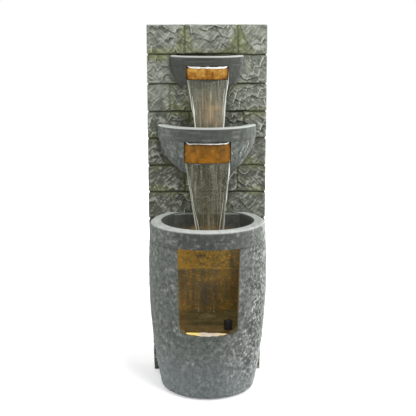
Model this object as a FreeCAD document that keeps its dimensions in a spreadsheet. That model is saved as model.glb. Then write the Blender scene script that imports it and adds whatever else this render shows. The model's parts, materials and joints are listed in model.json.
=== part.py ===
import FreeCAD, Part
import math
import os
import re
import Sketcher

# Three-tier wall fountain: a hollow stone-block board carries two half bowls and a basin.
# Frame: +Z up, the front faces -Y, X is the width, the origin is the floor under the middle of the box.
# All sizes are millimetres (angles are degrees) and stand once, in the sheet that SIZES fills.

SIZES = {
    # stone board
    "wall_width": 332, "wall_height": 1000, "wall_depth": 60, "foot_width": 310,
    "block_stand": 10, "block_side": 3, "block_bevel": 3, "block_return": 32, "joint_width": 5,
    "tall_course": 80.5, "face_wall": 8, "side_wall": 8, "top_wall": 10,
    "bond_a_left": -62, "bond_a_right": 85, "bond_b_left": -20, "bond_b_right": 62,
    "bond_c_left": -104, "bond_c_mid": -46, "bond_c_right": 58, "bond_d_left": -50, "bond_d_right": 101,
    # upper bowl
    "upper_rim_height": 918, "upper_radius": 103.4, "upper_axis_back": 23.4, "upper_rim_wall": 17,
    "upper_collar": 26, "upper_step": 2, "upper_arc": 98.7, "upper_arc_rise": 5, "upper_height": 80,
    "upper_wall": 10, "upper_floor": 9, "upper_slot_width": 115, "upper_slot_drop": 64,
    # middle bowl
    "middle_rim_height": 727, "middle_radius": 143.8, "middle_axis_back": 43.8, "middle_rim_wall": 23,
    "middle_collar": 39, "middle_step": 2.5, "middle_arc": 167, "middle_arc_rise": 36, "middle_height": 155,
    "middle_wall": 12, "middle_floor": 10, "middle_slot_width": 129, "middle_slot_drop": 102,
    # what both bowls share
    "bowl_back_wall": 9, "bowl_back_drop": 15, "bowl_rim_round": 5,
    # basin
    "basin_rim_height": 475, "belly_radius": 163, "belly_height": 335, "belly_arc": 1655, "basin_axis": 100,
    "basin_wall": 34, "basin_back_wall": 11, "basin_floor": 24, "basin_foot_round": 15,
    "basin_rim_round": 9, "basin_collar": 47, "groove_width": 5, "groove_depth": 2.5,
    "window_width": 165, "window_foot_width": 157, "window_height": 236, "window_round": 17,
    # amber lips and the light bars behind them
    "lip_recess": 4, "lip_wall": 7, "lip_side_gap": 3, "crest_gap": 6, "led_gap": 0.3, "led_wall": 8,
    "led_side_gap": 12, "led_drop": 6, "led_boss_width": 10, "led_boss_height": 12, "led_boss_reach": 17,
    # leads, their bushes and the driver
    "lead_radius": 2.5, "lead_fit": 0.05, "lead_bend": 13, "upper_lead_x": 26, "middle_lead_x": 38,
    "lamp_lead_gap": 12.4, "lamp_lead_height": 47, "lamp_lead_drop": 30, "lamp_lead_run": 45,
    "pump_lead_x": 20, "bush_radius": 5, "bush_flange": 7.5,
    "bush_flange_wall": 2, "driver_low": 200, "driver_height": 80, "driver_left": 13, "driver_width": 66,
    "driver_depth": 24, "driver_lid_wall": 2,
    # basin lamp
    "lamp_angle": 30.2, "lamp_width": 18, "lamp_depth": 15, "lamp_top": 217, "lamp_bottom": 150,
    "lamp_stand": 7, "lamp_lens_width": 13, "lamp_lens_height": 24, "lamp_lens_wall": 1.6,
    "sucker_radius": 9, "sucker_stem": 4, "sucker_height": 172, "soft_gap": 0.3,
    # pump
    "pump_width": 56, "pump_height": 56, "pump_length": 50, "pump_set": 5, "pump_foot": 6,
    "pump_foot_radius": 8, "pump_foot_top": 4, "pump_foot_inset": 11, "pump_round": 5,
    "well_radius": 11.2, "well_depth": 34, "magnet_radius": 10.5, "magnet_length": 30, "magnet_gap": 2,
    "shaft_radius": 1.5, "shaft_fit": 0.05, "bush_wall": 2.5, "rear_bush_length": 5, "front_bush_length": 4,
    "cover_length": 22, "cover_front": 8, "volute_radius": 20, "intake_radius": 12, "spider_radius": 6,
    "spider_bar": 4, "spider_depth": 6, "impeller_radius": 16, "impeller_hub": 5, "disc_wall": 2,
    "disc_set": 1, "blade_height": 8, "blade_wall": 1.6,
    "grille_length": 10, "grille_wall": 2, "grille_slot": 3, "grille_pitch": 6, "grille_slot_height": 36,
    "dial_radius": 10, "dial_wall": 4, "dial_grip": 3, "dial_grip_height": 3, "dial_grip_length": 16,
    "dial_stem": 3, "dial_stem_gap": 1.5, "dial_boss": 6,
    # hoses and fittings
    "hose_bore": 6.5, "hose_wall": 2, "hose_fit": 0.05, "hose_bend": 42, "nozzle_height": 20,
    "nozzle_bore": 4.5,
    "hose_inset": 3, "fitting_radius": 8, "fitting_body": 9.5, "fitting_reach": 11.2, "fitting_gap": 0.3,
    "fitting_flange": 13, "fitting_flange_wall": 3, "fitting_nut": 13, "fitting_nut_wall": 5,
    "thread_fit": 0.05, "barb_length": 18, "bulkhead_height": 165, "outlet_drop": 43,
    # bolts
    "bolt_radius": 3, "bolt_gap": 0.3, "bolt_head": 5.5, "bolt_head_height": 4, "bolt_washer": 8,
    "bolt_washer_wall": 1.5, "bolt_nut": 5.8, "bolt_nut_height": 5, "bolt_spare": 2,
    "upper_bolt_x": 50, "upper_bolt_drop": 50, "middle_bolt_x": 62, "middle_bolt_drop": 85,
    "basin_bolt_gap": 22.3, "basin_high_bolt_drop": 80, "basin_low_bolt_height": 110,
    # back panel and service door
    "panel_recess": 6, "panel_wall": 4, "panel_gap": 0.4,
    "boss_radius": 6, "boss_inset": 9, "boss_end_gap": 18,
    "screw_radius": 2, "screw_fit": 0.05, "screw_hole_gap": 0.3, "screw_head": 4, "screw_head_height": 2.5,
    "screw_length": 16, "door_width": 170, "door_low": 62, "door_height": 238, "door_gap": 1.2,
    "hinge_stand": 3, "knuckle_radius": 2.7, "knuckle_length": 12, "knuckle_gap": 0.4, "leaf_width": 12,
    "leaf_wall": 2, "hinge_pin_radius": 1.2, "hinge_pin_fit": 0.05, "hinge_inset": 40,
    "pull_radius": 7, "pull_neck": 5.6, "pull_stem": 3.5, "pull_height": 5, "pull_inset": 14,
    "magnet_block": 12, "magnet_block_wall": 6, "magnet_lap": 12,
    "strike_radius": 4.5, "strike_wall": 1.5, "strike_fit": 0.05,
    # gland, drain and feet
    "gland_x": 45, "gland_height": 36, "gland_bore": 3.5, "gland_radius": 6, "gland_gap": 0.2,
    "gland_head": 8, "gland_head_height": 4, "gland_tail": 8, "gland_nut_radius": 9, "gland_nut_wall": 4,
    "drain_radius": 8, "drain_gap": 0.1, "drain_flange": 12, "drain_flange_wall": 3, "drain_set": 62,
    "pad_stand": 1.5, "pad_radius": 9, "pad_depth": 4, "pad_gap": 0.1, "pad_inset": 17, "pad_wall_x": 118,
}

COURSES = 13
TALL_COURSES = 2
TAPERED_COURSES = 6
BONDS = {
    "a": ("bond_a_left", "bond_a_right"),
    "b": ("bond_b_left", "bond_b_right"),
    "c": ("bond_c_left", "bond_c_mid", "bond_c_right"),
    "d": ("bond_d_left", "bond_d_right"),
}
BOND_ORDER = "abcdbacdbacdb"
BLADES = 6
PAD_ANGLES = (90, 210, 330)
GRILLE_STEPS = (2.5, 3.5)
KNUCKLES = 3
BEND_SHARE = 0.45
NEAR = 0.01


def belly(z, inset):
    """Radius of the basin's side at a height, drawn in by an inset."""
    return f"(belly_radius - belly_arc + sqrt((belly_arc - ({inset}))^2 - (({z}) - belly_height)^2))"


# Planes and heights that several pieces share, worked out from the sizes.
COLLAR_LOW = "(basin_rim_height - basin_collar)"
BACK = f"((wall_depth + basin_axis + {belly(COLLAR_LOW, 0)}) / 2)"
SEAT = f"({BACK} - wall_depth)"
MORTAR = f"({SEAT} + block_stand)"
PLATE_BACK = f"({MORTAR} + face_wall)"
PANEL_OUT = f"({BACK} - panel_recess)"
PANEL_IN = f"({PANEL_OUT} - panel_wall)"
HOLLOW_MID = f"(({PLATE_BACK} + {PANEL_IN}) / 2)"
BASIN_Y = f"({SEAT} - basin_axis)"
BASIN_BACK_IN = f"({SEAT} - basin_back_wall)"
FLOOR = "(pad_stand + basin_floor)"
COURSE = f"((wall_height - {TALL_COURSES} * tall_course) / {COURSES - TALL_COURSES})"
TAPER_TOP = f"({COURSE} * {TAPERED_COURSES})"
PUMP_FACE = f"({BASIN_Y} + pump_set)"
PUMP_BOTTOM = f"({FLOOR} + pump_foot)"
ROTOR_Z = f"({PUMP_BOTTOM} + pump_height / 2)"
COVER_FRONT = f"({PUMP_FACE} - cover_length)"
GRILLE_FRONT = f"({COVER_FRONT} - grille_length)"
HOSE_RADIUS = "(hose_bore + hose_wall)"
BARB_RADIUS = "(hose_bore - hose_fit)"
NOZZLE_Y = f"({PUMP_FACE} - (cover_length - cover_front) / 2)"
NOZZLE_TOP = f"({PUMP_BOTTOM} + pump_height + nozzle_height)"
OUTLET_Z = "(upper_rim_height - outlet_drop)"
HINGE_X = "(door_width / 2 + door_gap / 2)"
HINGE_Y = f"({PANEL_OUT} + hinge_stand)"
DOOR_TOP = "(door_low + door_height)"
PAD_CIRCLE = f"({belly('pad_stand', 0)} - basin_foot_round - pad_radius - pad_gap - pad_inset)"
BASIN_BOLT_Z = ("(basin_rim_height - basin_high_bolt_drop)", "basin_low_bolt_height")

doc = FreeCAD.newDocument("fountain")
sheet = doc.addObject("Spreadsheet::Sheet", "size")
for row, (alias, value) in enumerate(SIZES.items(), 1):
    sheet.set(f"A{row}", alias)
    sheet.set(f"B{row}", str(value))
    sheet.setAlias(f"B{row}", alias)
doc.recompute()
probe = doc.addObject("App::FeaturePython", "probe")
probe.addProperty("App::PropertyFloat", "value")
nodes = []


def sized(text):
    """The expression with each size's name pointed at its cell."""
    def cell(word):
        return f"size.{word[0]}" if word[0] in SIZES else word[0]

    return re.sub(r"[A-Za-z_]\w*", cell, str(text))


def number(text):
    """What an expression comes to now."""
    probe.setExpression("value", sized(text))
    probe.recompute()
    return probe.value


def point(x, y, z):
    return FreeCAD.Vector(number(x), number(y), number(z))


def bind(item, **sizes):
    """Tie properties of an object to expressions over the sheet."""
    for name, text in sizes.items():
        item.setExpression(name, sized(text))
    return item


def place(item, x=0, y=0, z=0):
    """Tie an object's place to expressions over the sheet."""
    for axis, text in (("x", x), ("y", y), ("z", z)):
        item.setExpression(f"Placement.Base.{axis}", sized(text))
    return item


def node(item, label):
    """Mark an object as a finished piece with its own name and file."""
    item.Label = label
    nodes.append(item)
    return item


TURNS = {
    "z": FreeCAD.Rotation(),
    "y": FreeCAD.Rotation(FreeCAD.Vector(1, 0, 0), -90),
    "x": FreeCAD.Rotation(FreeCAD.Vector(0, 1, 0), 90),
}


def box(name, x, y, z):
    """A box from its low and high ends along X, Y and Z."""
    item = doc.addObject("Part::Box", name)
    for size, (low, high) in (("Length", x), ("Width", y), ("Height", z)):
        item.setExpression(size, sized(f"({high}) - ({low})"))
    return place(item, x[0], y[0], z[0])


def rod(name, radius, start, length, along="z"):
    """A cylinder that starts at a point and runs along +X, +Y or +Z."""
    item = doc.addObject("Part::Cylinder", name)
    item.Placement = FreeCAD.Placement(FreeCAD.Vector(), TURNS[along])
    return place(bind(item, Radius=radius, Height=length), *start)


def cone(name, radius_low, radius_high, start, length, along="z"):
    item = doc.addObject("Part::Cone", name)
    item.Placement = FreeCAD.Placement(FreeCAD.Vector(), TURNS[along])
    return place(bind(item, Radius1=radius_low, Radius2=radius_high, Height=length), *start)


def hexagon(name, radius, start, length, along="z"):
    """A six-sided prism that starts at a point, its radius measured to the corners."""
    item = doc.addObject("Part::Prism", name)
    item.Polygon = 6
    item.Placement = FreeCAD.Placement(FreeCAD.Vector(), TURNS[along])
    return place(bind(item, Circumradius=radius, Height=length), *start)


def fuse(name, *items):
    item = doc.addObject("Part::MultiFuse", name)
    item.Shapes = list(items)
    return item


def common(name, *items):
    item = doc.addObject("Part::MultiCommon", name)
    item.Shapes = list(items)
    return item


def cut(name, base, *tools):
    item = doc.addObject("Part::Cut", name)
    item.Base = base
    item.Tool = tools[0] if len(tools) == 1 else fuse(name + "_tools", *tools)
    return item


def group(name, items):
    """Separate solids of one kind, kept as one piece of the list."""
    item = doc.addObject("Part::Compound", name)
    item.Links = list(items)
    return item


def outline(body, name, role, corners):
    """A closed sketch: each corner is (u, v), or (u, v, radius) where an arc runs on to the next corner.

    Arcs turn to the left of the way they are drawn, or to the right with a radius given as ("cw", radius).
    """
    plane = next(item for item in body.Origin.OriginFeatures if item.Role == role)
    sketch = body.newObject("Sketcher::SketchObject", name)
    sketch.AttachmentSupport = [(plane, "")]
    sketch.MapMode = "FlatFace"
    spots = [FreeCAD.Vector(number(corner[0]), number(corner[1]), 0) for corner in corners]
    first_ends = []
    last_ends = []
    for index, corner in enumerate(corners):
        start = spots[index]
        end = spots[(index + 1) % len(spots)]
        if len(corner) == 2:
            sketch.addGeometry(Part.LineSegment(start, end))
            first_ends.append(1)
            last_ends.append(2)
            continue
        clockwise = isinstance(corner[2], tuple)
        radius = corner[2][1] if clockwise else corner[2]
        side = -1 if clockwise else 1
        chord = end - start
        middle = (start + end) * 0.5
        across = FreeCAD.Vector(-chord.y, chord.x, 0).normalize() * side
        reach = number(radius)
        centre = middle + across * math.sqrt(reach ** 2 - (chord.Length / 2) ** 2)
        low, high = (end, start) if clockwise else (start, end)
        angles = [math.atan2(spot.y - centre.y, spot.x - centre.x) for spot in (low, high)]
        circle = Part.Circle(centre, FreeCAD.Vector(0, 0, 1), reach)
        sketch.addGeometry(Part.ArcOfCircle(circle, angles[0], angles[1]))
        first_ends.append(2 if clockwise else 1)
        last_ends.append(1 if clockwise else 2)
        tie(sketch, Sketcher.Constraint("Radius", index, reach), radius)
    for index, corner in enumerate(corners):
        after = (index + 1) % len(corners)
        meet = Sketcher.Constraint("Coincident", index, last_ends[index], after, first_ends[after])
        sketch.addConstraint(meet)
        spot = spots[index]
        for kind, text, value in (("DistanceX", corner[0], spot.x), ("DistanceY", corner[1], spot.y)):
            tie(sketch, Sketcher.Constraint(kind, -1, 1, index, first_ends[index], value), text)
    return sketch


def tie(sketch, constraint, text):
    """Add a constraint and bind its value to an expression."""
    sketch.setExpression(f"Constraints[{sketch.addConstraint(constraint)}]", sized(text))


def turned(name, corners, x=0, y=0, z=0):
    """A solid turned about an upright axis from its outline of (radius, height) corners."""
    body = doc.addObject("PartDesign::Body", name)
    sketch = outline(body, name + "_outline", "XZ_Plane", corners)
    turn = body.newObject("PartDesign::Revolution", name + "_turn")
    turn.Profile = sketch
    turn.ReferenceAxis = (sketch, ["V_Axis"])
    turn.Angle = 360
    return place(body, x, y, z)


def padded(name, corners, low, high):
    """A plate from its outline of (x, z) corners, between two Y planes."""
    body = doc.addObject("PartDesign::Body", name)
    sketch = outline(body, name + "_outline", "XZ_Plane", corners)
    pad = body.newObject("PartDesign::Pad", name + "_pad")
    pad.Profile = sketch
    pad.Reversed = True
    pad.setExpression("Length", sized(f"({high}) - ({low})"))
    return place(body, 0, low, 0)


def rounded(body, name, radius, chosen):
    """Round those edges of a body's last feature that a test picks."""
    doc.recompute()
    last = body.Tip
    edges = [f"Edge{index}" for index, edge in enumerate(last.Shape.Edges, 1) if chosen(edge)]
    fillet = body.newObject("PartDesign::Fillet", name)
    fillet.Base = (last, edges)
    fillet.setExpression("Radius", sized(radius))
    return body


def route(name, spots, radius, last_bend, bore=None):
    """A tube along straight runs joined by tangent arcs as large as the runs allow; the last is limited."""
    edges = []
    bends = []
    start = spots[0]
    length = 0
    for before, corner, after in zip(spots, spots[1:], spots[2:]):
        into = (corner - before).normalize()
        out = (after - corner).normalize()
        turn = into.getAngle(out)
        run = min((corner - before).Length, (after - corner).Length)
        bend = BEND_SHARE * run / math.tan(turn / 2)
        if after == spots[-1]:
            bend = min(bend, last_bend)
        trim = bend * math.tan(turn / 2)
        arc_start = corner - into * trim
        arc_end = corner + out * trim
        sag = bend / math.cos(turn / 2) - bend
        arc_mid = corner + (out - into).normalize() * sag
        edges.append(Part.LineSegment(start, arc_start).toShape())
        edges.append(Part.Arc(arc_start, arc_mid, arc_end).toShape())
        length += (arc_start - start).Length + bend * turn
        bends.append(round(bend, 1))
        start = arc_end
    edges.append(Part.LineSegment(start, spots[-1]).toShape())
    length += (spots[-1] - start).Length
    path = Part.Wire(edges)
    direction = (spots[1] - spots[0]).normalize()
    rings = []
    for size in (radius, bore):
        if size:
            rings.append(Part.Wire(Part.Circle(spots[0], direction, size).toShape()))
    solids = [path.makePipeShell([ring], True, False) for ring in rings]
    tube = solids[0] if bore is None else solids[0].cut(solids[1])
    swept = math.pi * (radius ** 2 - (bore or 0) ** 2) * length
    print(name, "length", round(length), "bends", bends, "volume ratio", round(tube.Volume / swept, 4))
    item = doc.addObject("Part::Feature", name)
    item.Shape = tube
    return node(item, name)


def basin_corner(z):
    """How far out the basin's inside reaches along its back wall at a height."""
    return f"sqrt({belly(z, 'basin_wall')}^2 - (basin_axis - basin_back_wall)^2)"


# Holes that pass from a tier through the board: bolts, leads and the two fittings.
BOLTS = []
for side in (-1, 1):
    BOLTS.append((f"{side} * upper_bolt_x", "upper_rim_height - upper_bolt_drop", "bowl_back_wall"))
    BOLTS.append((f"{side} * middle_bolt_x", "middle_rim_height - middle_bolt_drop", "bowl_back_wall"))
    for z in BASIN_BOLT_Z:
        BOLTS.append((f"{side} * ({basin_corner(z)} - basin_bolt_gap)", z, "basin_back_wall"))
LEADS = {
    "upper": ("upper_lead_x", "upper_rim_height - upper_slot_drop + led_boss_height / 2",
              "bowl_back_wall"),
    "middle": ("middle_lead_x", "middle_rim_height - middle_slot_drop + led_boss_height / 2",
               "bowl_back_wall"),
    "lamp": (f"({basin_corner('lamp_lead_height')} - lamp_lead_gap)", "lamp_lead_height", "basin_back_wall"),
    "pump": ("pump_lead_x", ROTOR_Z, "basin_back_wall"),
}


def wall_holes(name, low, high):
    """Cutters for every bolt, lead and fitting that passes the board, between two Y planes."""
    depth = f"({high}) - ({low})"
    holes = []
    for index, (x, z, wall) in enumerate(BOLTS):
        holes.append(rod(f"{name}_bolt_hole_{index}", "bolt_radius + bolt_gap", (x, low, z), depth, "y"))
    for tier, (x, z, wall) in LEADS.items():
        holes.append(rod(f"{name}_{tier}_lead_hole", "bush_radius + lead_fit", (x, low, z), depth, "y"))
    for fitting, z in (("bulkhead", "bulkhead_height"), ("outlet", OUTLET_Z)):
        holes.append(rod(f"{name}_{fitting}_hole", "fitting_radius + fitting_gap", (0, low, z), depth, "y"))
    return holes


# Stone board: a shell whose sides draw in towards the foot, with bonded blocks standing proud in front.
def board_outline(inset, low, high):
    """Corners of the board's outline, drawn in by an inset at the sides, between two heights."""
    top = f"wall_width / 2 - ({inset})"
    foot = f"foot_width / 2 - ({inset})"
    right = [(foot, low), (top, TAPER_TOP), (top, high)]
    return right + [(f"-({x})", z) for x, z in reversed(right)]


def bed(course):
    """Height of the bed joint under a course: the courses are equal but for the tall ones at the top."""
    tall = max(0, course - (COURSES - TALL_COURSES))
    return f"({COURSE} * {course - tall} + tall_course * {tall})"


core_corners = board_outline("block_side", "pad_stand", "wall_height - block_side")
core = padded("board_core", core_corners, MORTAR, BACK)
hollow_corners = board_outline("block_side + side_wall", "pad_stand + top_wall",
                               "wall_height - block_side - top_wall")
hollow = padded("board_hollow", hollow_corners, PLATE_BACK, f"{BACK} + block_stand")
blocks = []
for course in range(COURSES):
    bond = BONDS[BOND_ORDER[COURSES - 1 - course]]
    low = "pad_stand" if course == 0 else f"{bed(course)} + joint_width / 2"
    high = "wall_height" if course == COURSES - 1 else f"{bed(course + 1)} - joint_width / 2"
    share = min(1, (course + 0.5) / TAPERED_COURSES)
    edge = f"(foot_width + (wall_width - foot_width) * {share}) / 2"
    ends = [f"-{edge}"]
    for joint in bond:
        ends += [f"{joint} - joint_width / 2", f"{joint} + joint_width / 2"]
    ends.append(edge)
    for index in range(0, len(ends), 2):
        block = doc.addObject("Part::Wedge", f"block_{course}_{index // 2}")
        left, right = ends[index], ends[index + 1]
        bind(block, Ymin=SEAT, Ymax=f"{MORTAR} + face_wall / 2")
        bind(block, X2min=left, X2max=right, Z2min=low, Z2max=high)
        bind(block, Xmin=f"{left} + block_bevel", Xmax=f"{right} - block_bevel")
        bind(block, Zmin=f"{low} + block_bevel", Zmax=f"{high} - block_bevel")
        blocks.append(block)
    inside = f"{edge} - block_side - side_wall / 2"
    for name, x in (("left", (f"-{edge}", f"-({inside})")), ("right", (inside, edge))):
        blocks.append(box(f"return_{course}_{name}", x, (MORTAR, f"{MORTAR} + block_return"), (low, high)))
boss_spots = []
boss_x = "(min(foot_width; wall_width) / 2 - block_side - side_wall - boss_inset)"
for height in ("top_wall + boss_end_gap", f"{DOOR_TOP} + boss_end_gap", "middle_rim_height - middle_height",
               "wall_height - top_wall - boss_end_gap"):
    for side in (-1, 1):
        boss_spots.append((f"{side} * {boss_x}", height))
bosses = []
boss_holes = []
for index, (x, z) in enumerate(boss_spots):
    span = f"{PANEL_IN} - {PLATE_BACK} + face_wall / 2"
    bosses.append(rod(f"boss_{index}", "boss_radius", (x, f"{PLATE_BACK} - face_wall / 2", z), span, "y"))
    start = (x, f"{PANEL_OUT} - screw_length", z)
    boss_holes.append(rod(f"boss_hole_{index}", "screw_radius + screw_fit", start, "screw_length", "y"))
shell = cut("board_shell", core, hollow)
solid_board = fuse("board_solid", shell, *blocks, *bosses)
pad_spots = []
for angle in PAD_ANGLES:
    turn = math.radians(angle)
    pad_x = f"{PAD_CIRCLE} * {math.cos(turn):.6f}"
    pad_spots.append((pad_x, f"{BASIN_Y} - {PAD_CIRCLE} * {math.sin(turn):.6f}"))
for side in (-1, 1):
    pad_spots.append((f"{side} * pad_wall_x", f"{MORTAR} + (wall_depth - block_stand) / 2"))
pad_pockets = []
for index, (x, y) in enumerate(pad_spots):
    pad_pockets.append(rod(f"pad_pocket_{index}", "pad_radius + pad_gap", (x, y, 0), "pad_depth + pad_stand"))
board_holes = wall_holes("board", f"{SEAT} - block_stand", f"{PLATE_BACK} + block_stand")
node(cut("stone_face", solid_board, *boss_holes, *board_holes, *pad_pockets[len(PAD_ANGLES):]), "stone_face")


# Half bowls: a turned pot cut by the board, with a collar, a slot under it and a low back wall.
class Bowl:
    """Shared planes, heights and radii of one bowl, as expressions."""

    def __init__(self, tier):
        self.tier = tier
        self.y = f"({SEAT} + {tier}_axis_back)"
        self.rim = f"{tier}_rim_height"
        self.bottom = f"({self.rim} - {tier}_height)"
        self.collar = f"({self.rim} - {tier}_collar)"
        self.sill = f"({self.rim} - {tier}_slot_drop)"
        self.centre_z = f"({self.collar} + {tier}_arc_rise)"
        self.centre_r = f"({tier}_radius - {tier}_step - sqrt({tier}_arc^2 - {tier}_arc_rise^2))"

    def arc(self, inset):
        return f"({self.tier}_arc - ({inset}))"

    def radius(self, z, inset):
        """Radius of the bowl's belly at a height, drawn in by an inset."""
        return f"({self.centre_r} + sqrt({self.arc(inset)}^2 - ({self.centre_z} - ({z}))^2))"

    def front(self, name, low, high):
        """Block that holds all of the bowl in front of one plane, between two heights."""
        reach = f"{self.tier}_radius + {self.tier}_axis_back"
        return box(name, (f"-({reach})", reach), (f"{SEAT} - ({reach})", low), (self.bottom, high))


def bowl(tier):
    """One half bowl, open above, with its slot and the holes in its back wall."""
    form = Bowl(tier)
    outer = turned(f"{tier}_form", [
        (0, form.bottom),
        (form.radius(form.bottom, 0), form.bottom, f"{tier}_arc"),
        (f"{tier}_radius - {tier}_step", form.collar),
        (f"{tier}_radius", f"{form.collar} + {tier}_step"),
        (f"{tier}_radius", form.rim),
        (0, form.rim),
    ], y=form.y)
    rim = number(form.rim)
    rounded(outer, f"{tier}_rim_rounding", "bowl_rim_round",
            lambda edge: edge.BoundBox.ZMin > rim - NEAR)
    inner_r = f"({tier}_radius - {tier}_rim_wall)"
    wall = f"{tier}_wall"
    floor = f"({form.bottom} + {tier}_floor)"
    joint = f"{form.centre_z} - sqrt({form.arc(wall)}^2 - ({inner_r} - {form.centre_r})^2)"
    above = f"{form.rim} + bowl_back_drop"
    cavity = turned(f"{tier}_cavity", [
        (0, floor),
        (form.radius(floor, wall), floor, form.arc(wall)),
        (inner_r, joint),
        (inner_r, above),
        (0, above),
    ], y=form.y)
    half = common(f"{tier}_half", outer, form.front(f"{tier}_front", SEAT, above))
    room_front = form.front(f"{tier}_room_front", f"{SEAT} - bowl_back_wall", above)
    room = common(f"{tier}_room", cavity, room_front)
    reach = f"({tier}_radius + {tier}_axis_back)"
    slot = box(f"{tier}_slot", (f"-{tier}_slot_width / 2", f"{tier}_slot_width / 2"),
               (f"{SEAT} - {reach}", f"{SEAT} - bowl_back_wall - {tier}_rim_wall"),
               (form.sill, form.collar))
    back_r = f"sqrt({inner_r}^2 - ({tier}_axis_back + bowl_back_wall)^2)"
    low_back = box(f"{tier}_low_back", (f"-{back_r}", back_r),
                   (f"{SEAT} - bowl_back_wall * 2", f"{SEAT} + block_stand"),
                   (f"{form.rim} - bowl_back_drop", above))
    holes = wall_holes(tier, f"{SEAT} - bowl_back_wall - block_stand", f"{SEAT} + block_stand")
    return node(cut(f"{tier}_bowl", half, room, slot, low_back, *holes), f"{tier}_bowl")


def ring_piece(name, form, low, high, inset, wall, side_gap):
    """A curved strip that follows the bowl's belly at an inset, as wide as the slot less a side gap."""
    inner = f"({inset}) + {wall}"
    ring = turned(f"{name}_ring", [
        (form.radius(low, inner), low),
        (form.radius(low, inset), low, form.arc(inset)),
        (form.radius(high, inset), high),
        (form.radius(high, inner), high, ("cw", form.arc(inner))),
    ], y=form.y)
    half = f"({form.tier}_slot_width / 2 - {side_gap})"
    reach = f"{form.tier}_radius + {form.tier}_axis_back"
    span = box(f"{name}_span", (f"-{half}", half), (f"{SEAT} - ({reach})", SEAT), (low, high))
    return common(name, ring, span)


def lights(tier):
    """The amber lip that stands in a bowl's slot, and the light bar behind it with its lead boss."""
    form = Bowl(tier)
    top = f"({form.collar} - crest_gap)"
    label = f"{tier}_spill_lip"
    node(ring_piece(label, form, form.sill, top, "lip_recess", "lip_wall", "lip_side_gap"), label)
    inset = "lip_recess + lip_wall + led_gap"
    bar_top = f"{top} - led_drop"
    bar = ring_piece(f"{tier}_bar", form, form.sill, bar_top, inset, "led_wall", "led_side_gap")
    back = f"({form.y} - {form.radius(form.sill, inset + ' + led_wall')})"
    x = f"{tier}_lead_x"
    boss = box(f"{tier}_lead_boss", (f"{x} - led_boss_width / 2", f"{x} + led_boss_width / 2"),
               (f"{back} + lead_radius", f"{back} + led_boss_reach"),
               (form.sill, f"{form.sill} + led_boss_height"))
    node(fuse(f"{tier}_led_bar", bar, boss), f"{tier}_led_bar")
    return f"{back} + led_boss_reach"


lead_starts = {}
for tier in ("upper", "middle"):
    bowl(tier)
    lead_starts[tier] = lights(tier)


# Basin: a barrel-sided pot cut flat by the board, with a window in front that narrows downwards.
def basin_room(name, inset):
    """The space inside the basin, drawn in by an inset, cut off in front of the back wall."""
    wall = f"basin_wall + {inset}"
    above = "basin_rim_height + basin_rim_round"
    low = f"({FLOOR} + {inset})"
    space = turned(name + "_space", [
        (0, low),
        (belly(low, wall), low, f"belly_arc - ({wall})"),
        (belly(above, wall), above),
        (0, above),
    ], y=BASIN_Y)
    front = box(name + "_front", ("-belly_radius", "belly_radius"),
                (f"{BASIN_Y} - belly_radius", f"{BASIN_BACK_IN} - {inset}"), ("pad_stand", above))
    return common(name, space, front)


groove_low = f"({COLLAR_LOW} - groove_width)"
basin_form = turned("basin_form", [
    (0, "pad_stand"),
    (belly("pad_stand", 0), "pad_stand", "belly_arc"),
    (belly(groove_low, 0), groove_low),
    (f"{belly(groove_low, 0)} - groove_depth", f"{groove_low} + groove_width / 2"),
    (belly(COLLAR_LOW, 0), COLLAR_LOW, "belly_arc"),
    (belly("basin_rim_height", 0), "basin_rim_height"),
    (0, "basin_rim_height"),
], y=BASIN_Y)
basin_top = number("basin_rim_height")
basin_low = number("pad_stand")
rounded(basin_form, "basin_rim_rounding", "basin_rim_round",
        lambda edge: edge.BoundBox.ZMin > basin_top - NEAR)
rounded(basin_form, "basin_foot_rounding", "basin_foot_round",
        lambda edge: edge.BoundBox.ZMax < basin_low + NEAR)
basin_half = common("basin_half", basin_form, box(
    "basin_front", ("-belly_radius", "belly_radius"), (f"{BASIN_Y} - belly_radius", SEAT),
    ("pad_stand", "basin_rim_height")))
window_low = f"({COLLAR_LOW} - window_height)"
window = padded("basin_window", [
    ("-window_foot_width / 2 + window_round", window_low),
    ("window_foot_width / 2 - window_round", window_low, "window_round"),
    ("window_foot_width / 2", f"{window_low} + window_round"),
    ("window_width / 2", COLLAR_LOW),
    ("-window_width / 2", COLLAR_LOW),
    ("-window_foot_width / 2", f"{window_low} + window_round", "window_round"),
], f"{BASIN_Y} - belly_radius", BASIN_Y)
drain_y = f"({BASIN_Y} - drain_set)"
drain_hole = rod("drain_hole", "drain_radius + drain_gap", (0, drain_y, 0), f"{FLOOR} + drain_flange")
basin_holes = wall_holes("basin", f"{BASIN_BACK_IN} - block_stand", f"{SEAT} + block_stand")
node(cut("basin", basin_half, basin_room("basin_room", 0), window, drain_hole, *basin_holes,
         *pad_pockets[:len(PAD_ANGLES)]), "basin")
plug_tip = f"({FLOOR} - basin_floor / 2)"
node(fuse("drain_plug",
          rod("drain_plug_flange", "drain_flange", (0, drain_y, FLOOR), "drain_flange_wall"),
          cone("drain_plug_stem", "drain_radius - drain_gap", "drain_radius", (0, drain_y, plug_tip),
               "basin_floor / 2")), "drain_plug")
foot_pads = []
for index, (x, y) in enumerate(pad_spots):
    foot_pads.append(rod(f"foot_pad_{index}", "pad_radius", (x, y, 0), "pad_depth + pad_stand"))
node(group("foot_pads", foot_pads), "foot_pads")

# Basin lamp: it stands off the wall on a sucker, turned about the basin's axis to the right.
lamp_wall = belly("sucker_height", "basin_wall")
lamp_back = f"({lamp_wall} - lamp_stand)"
lamp_turn = FreeCAD.Rotation(FreeCAD.Vector(0, 0, 1), number("lamp_angle"))


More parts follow.
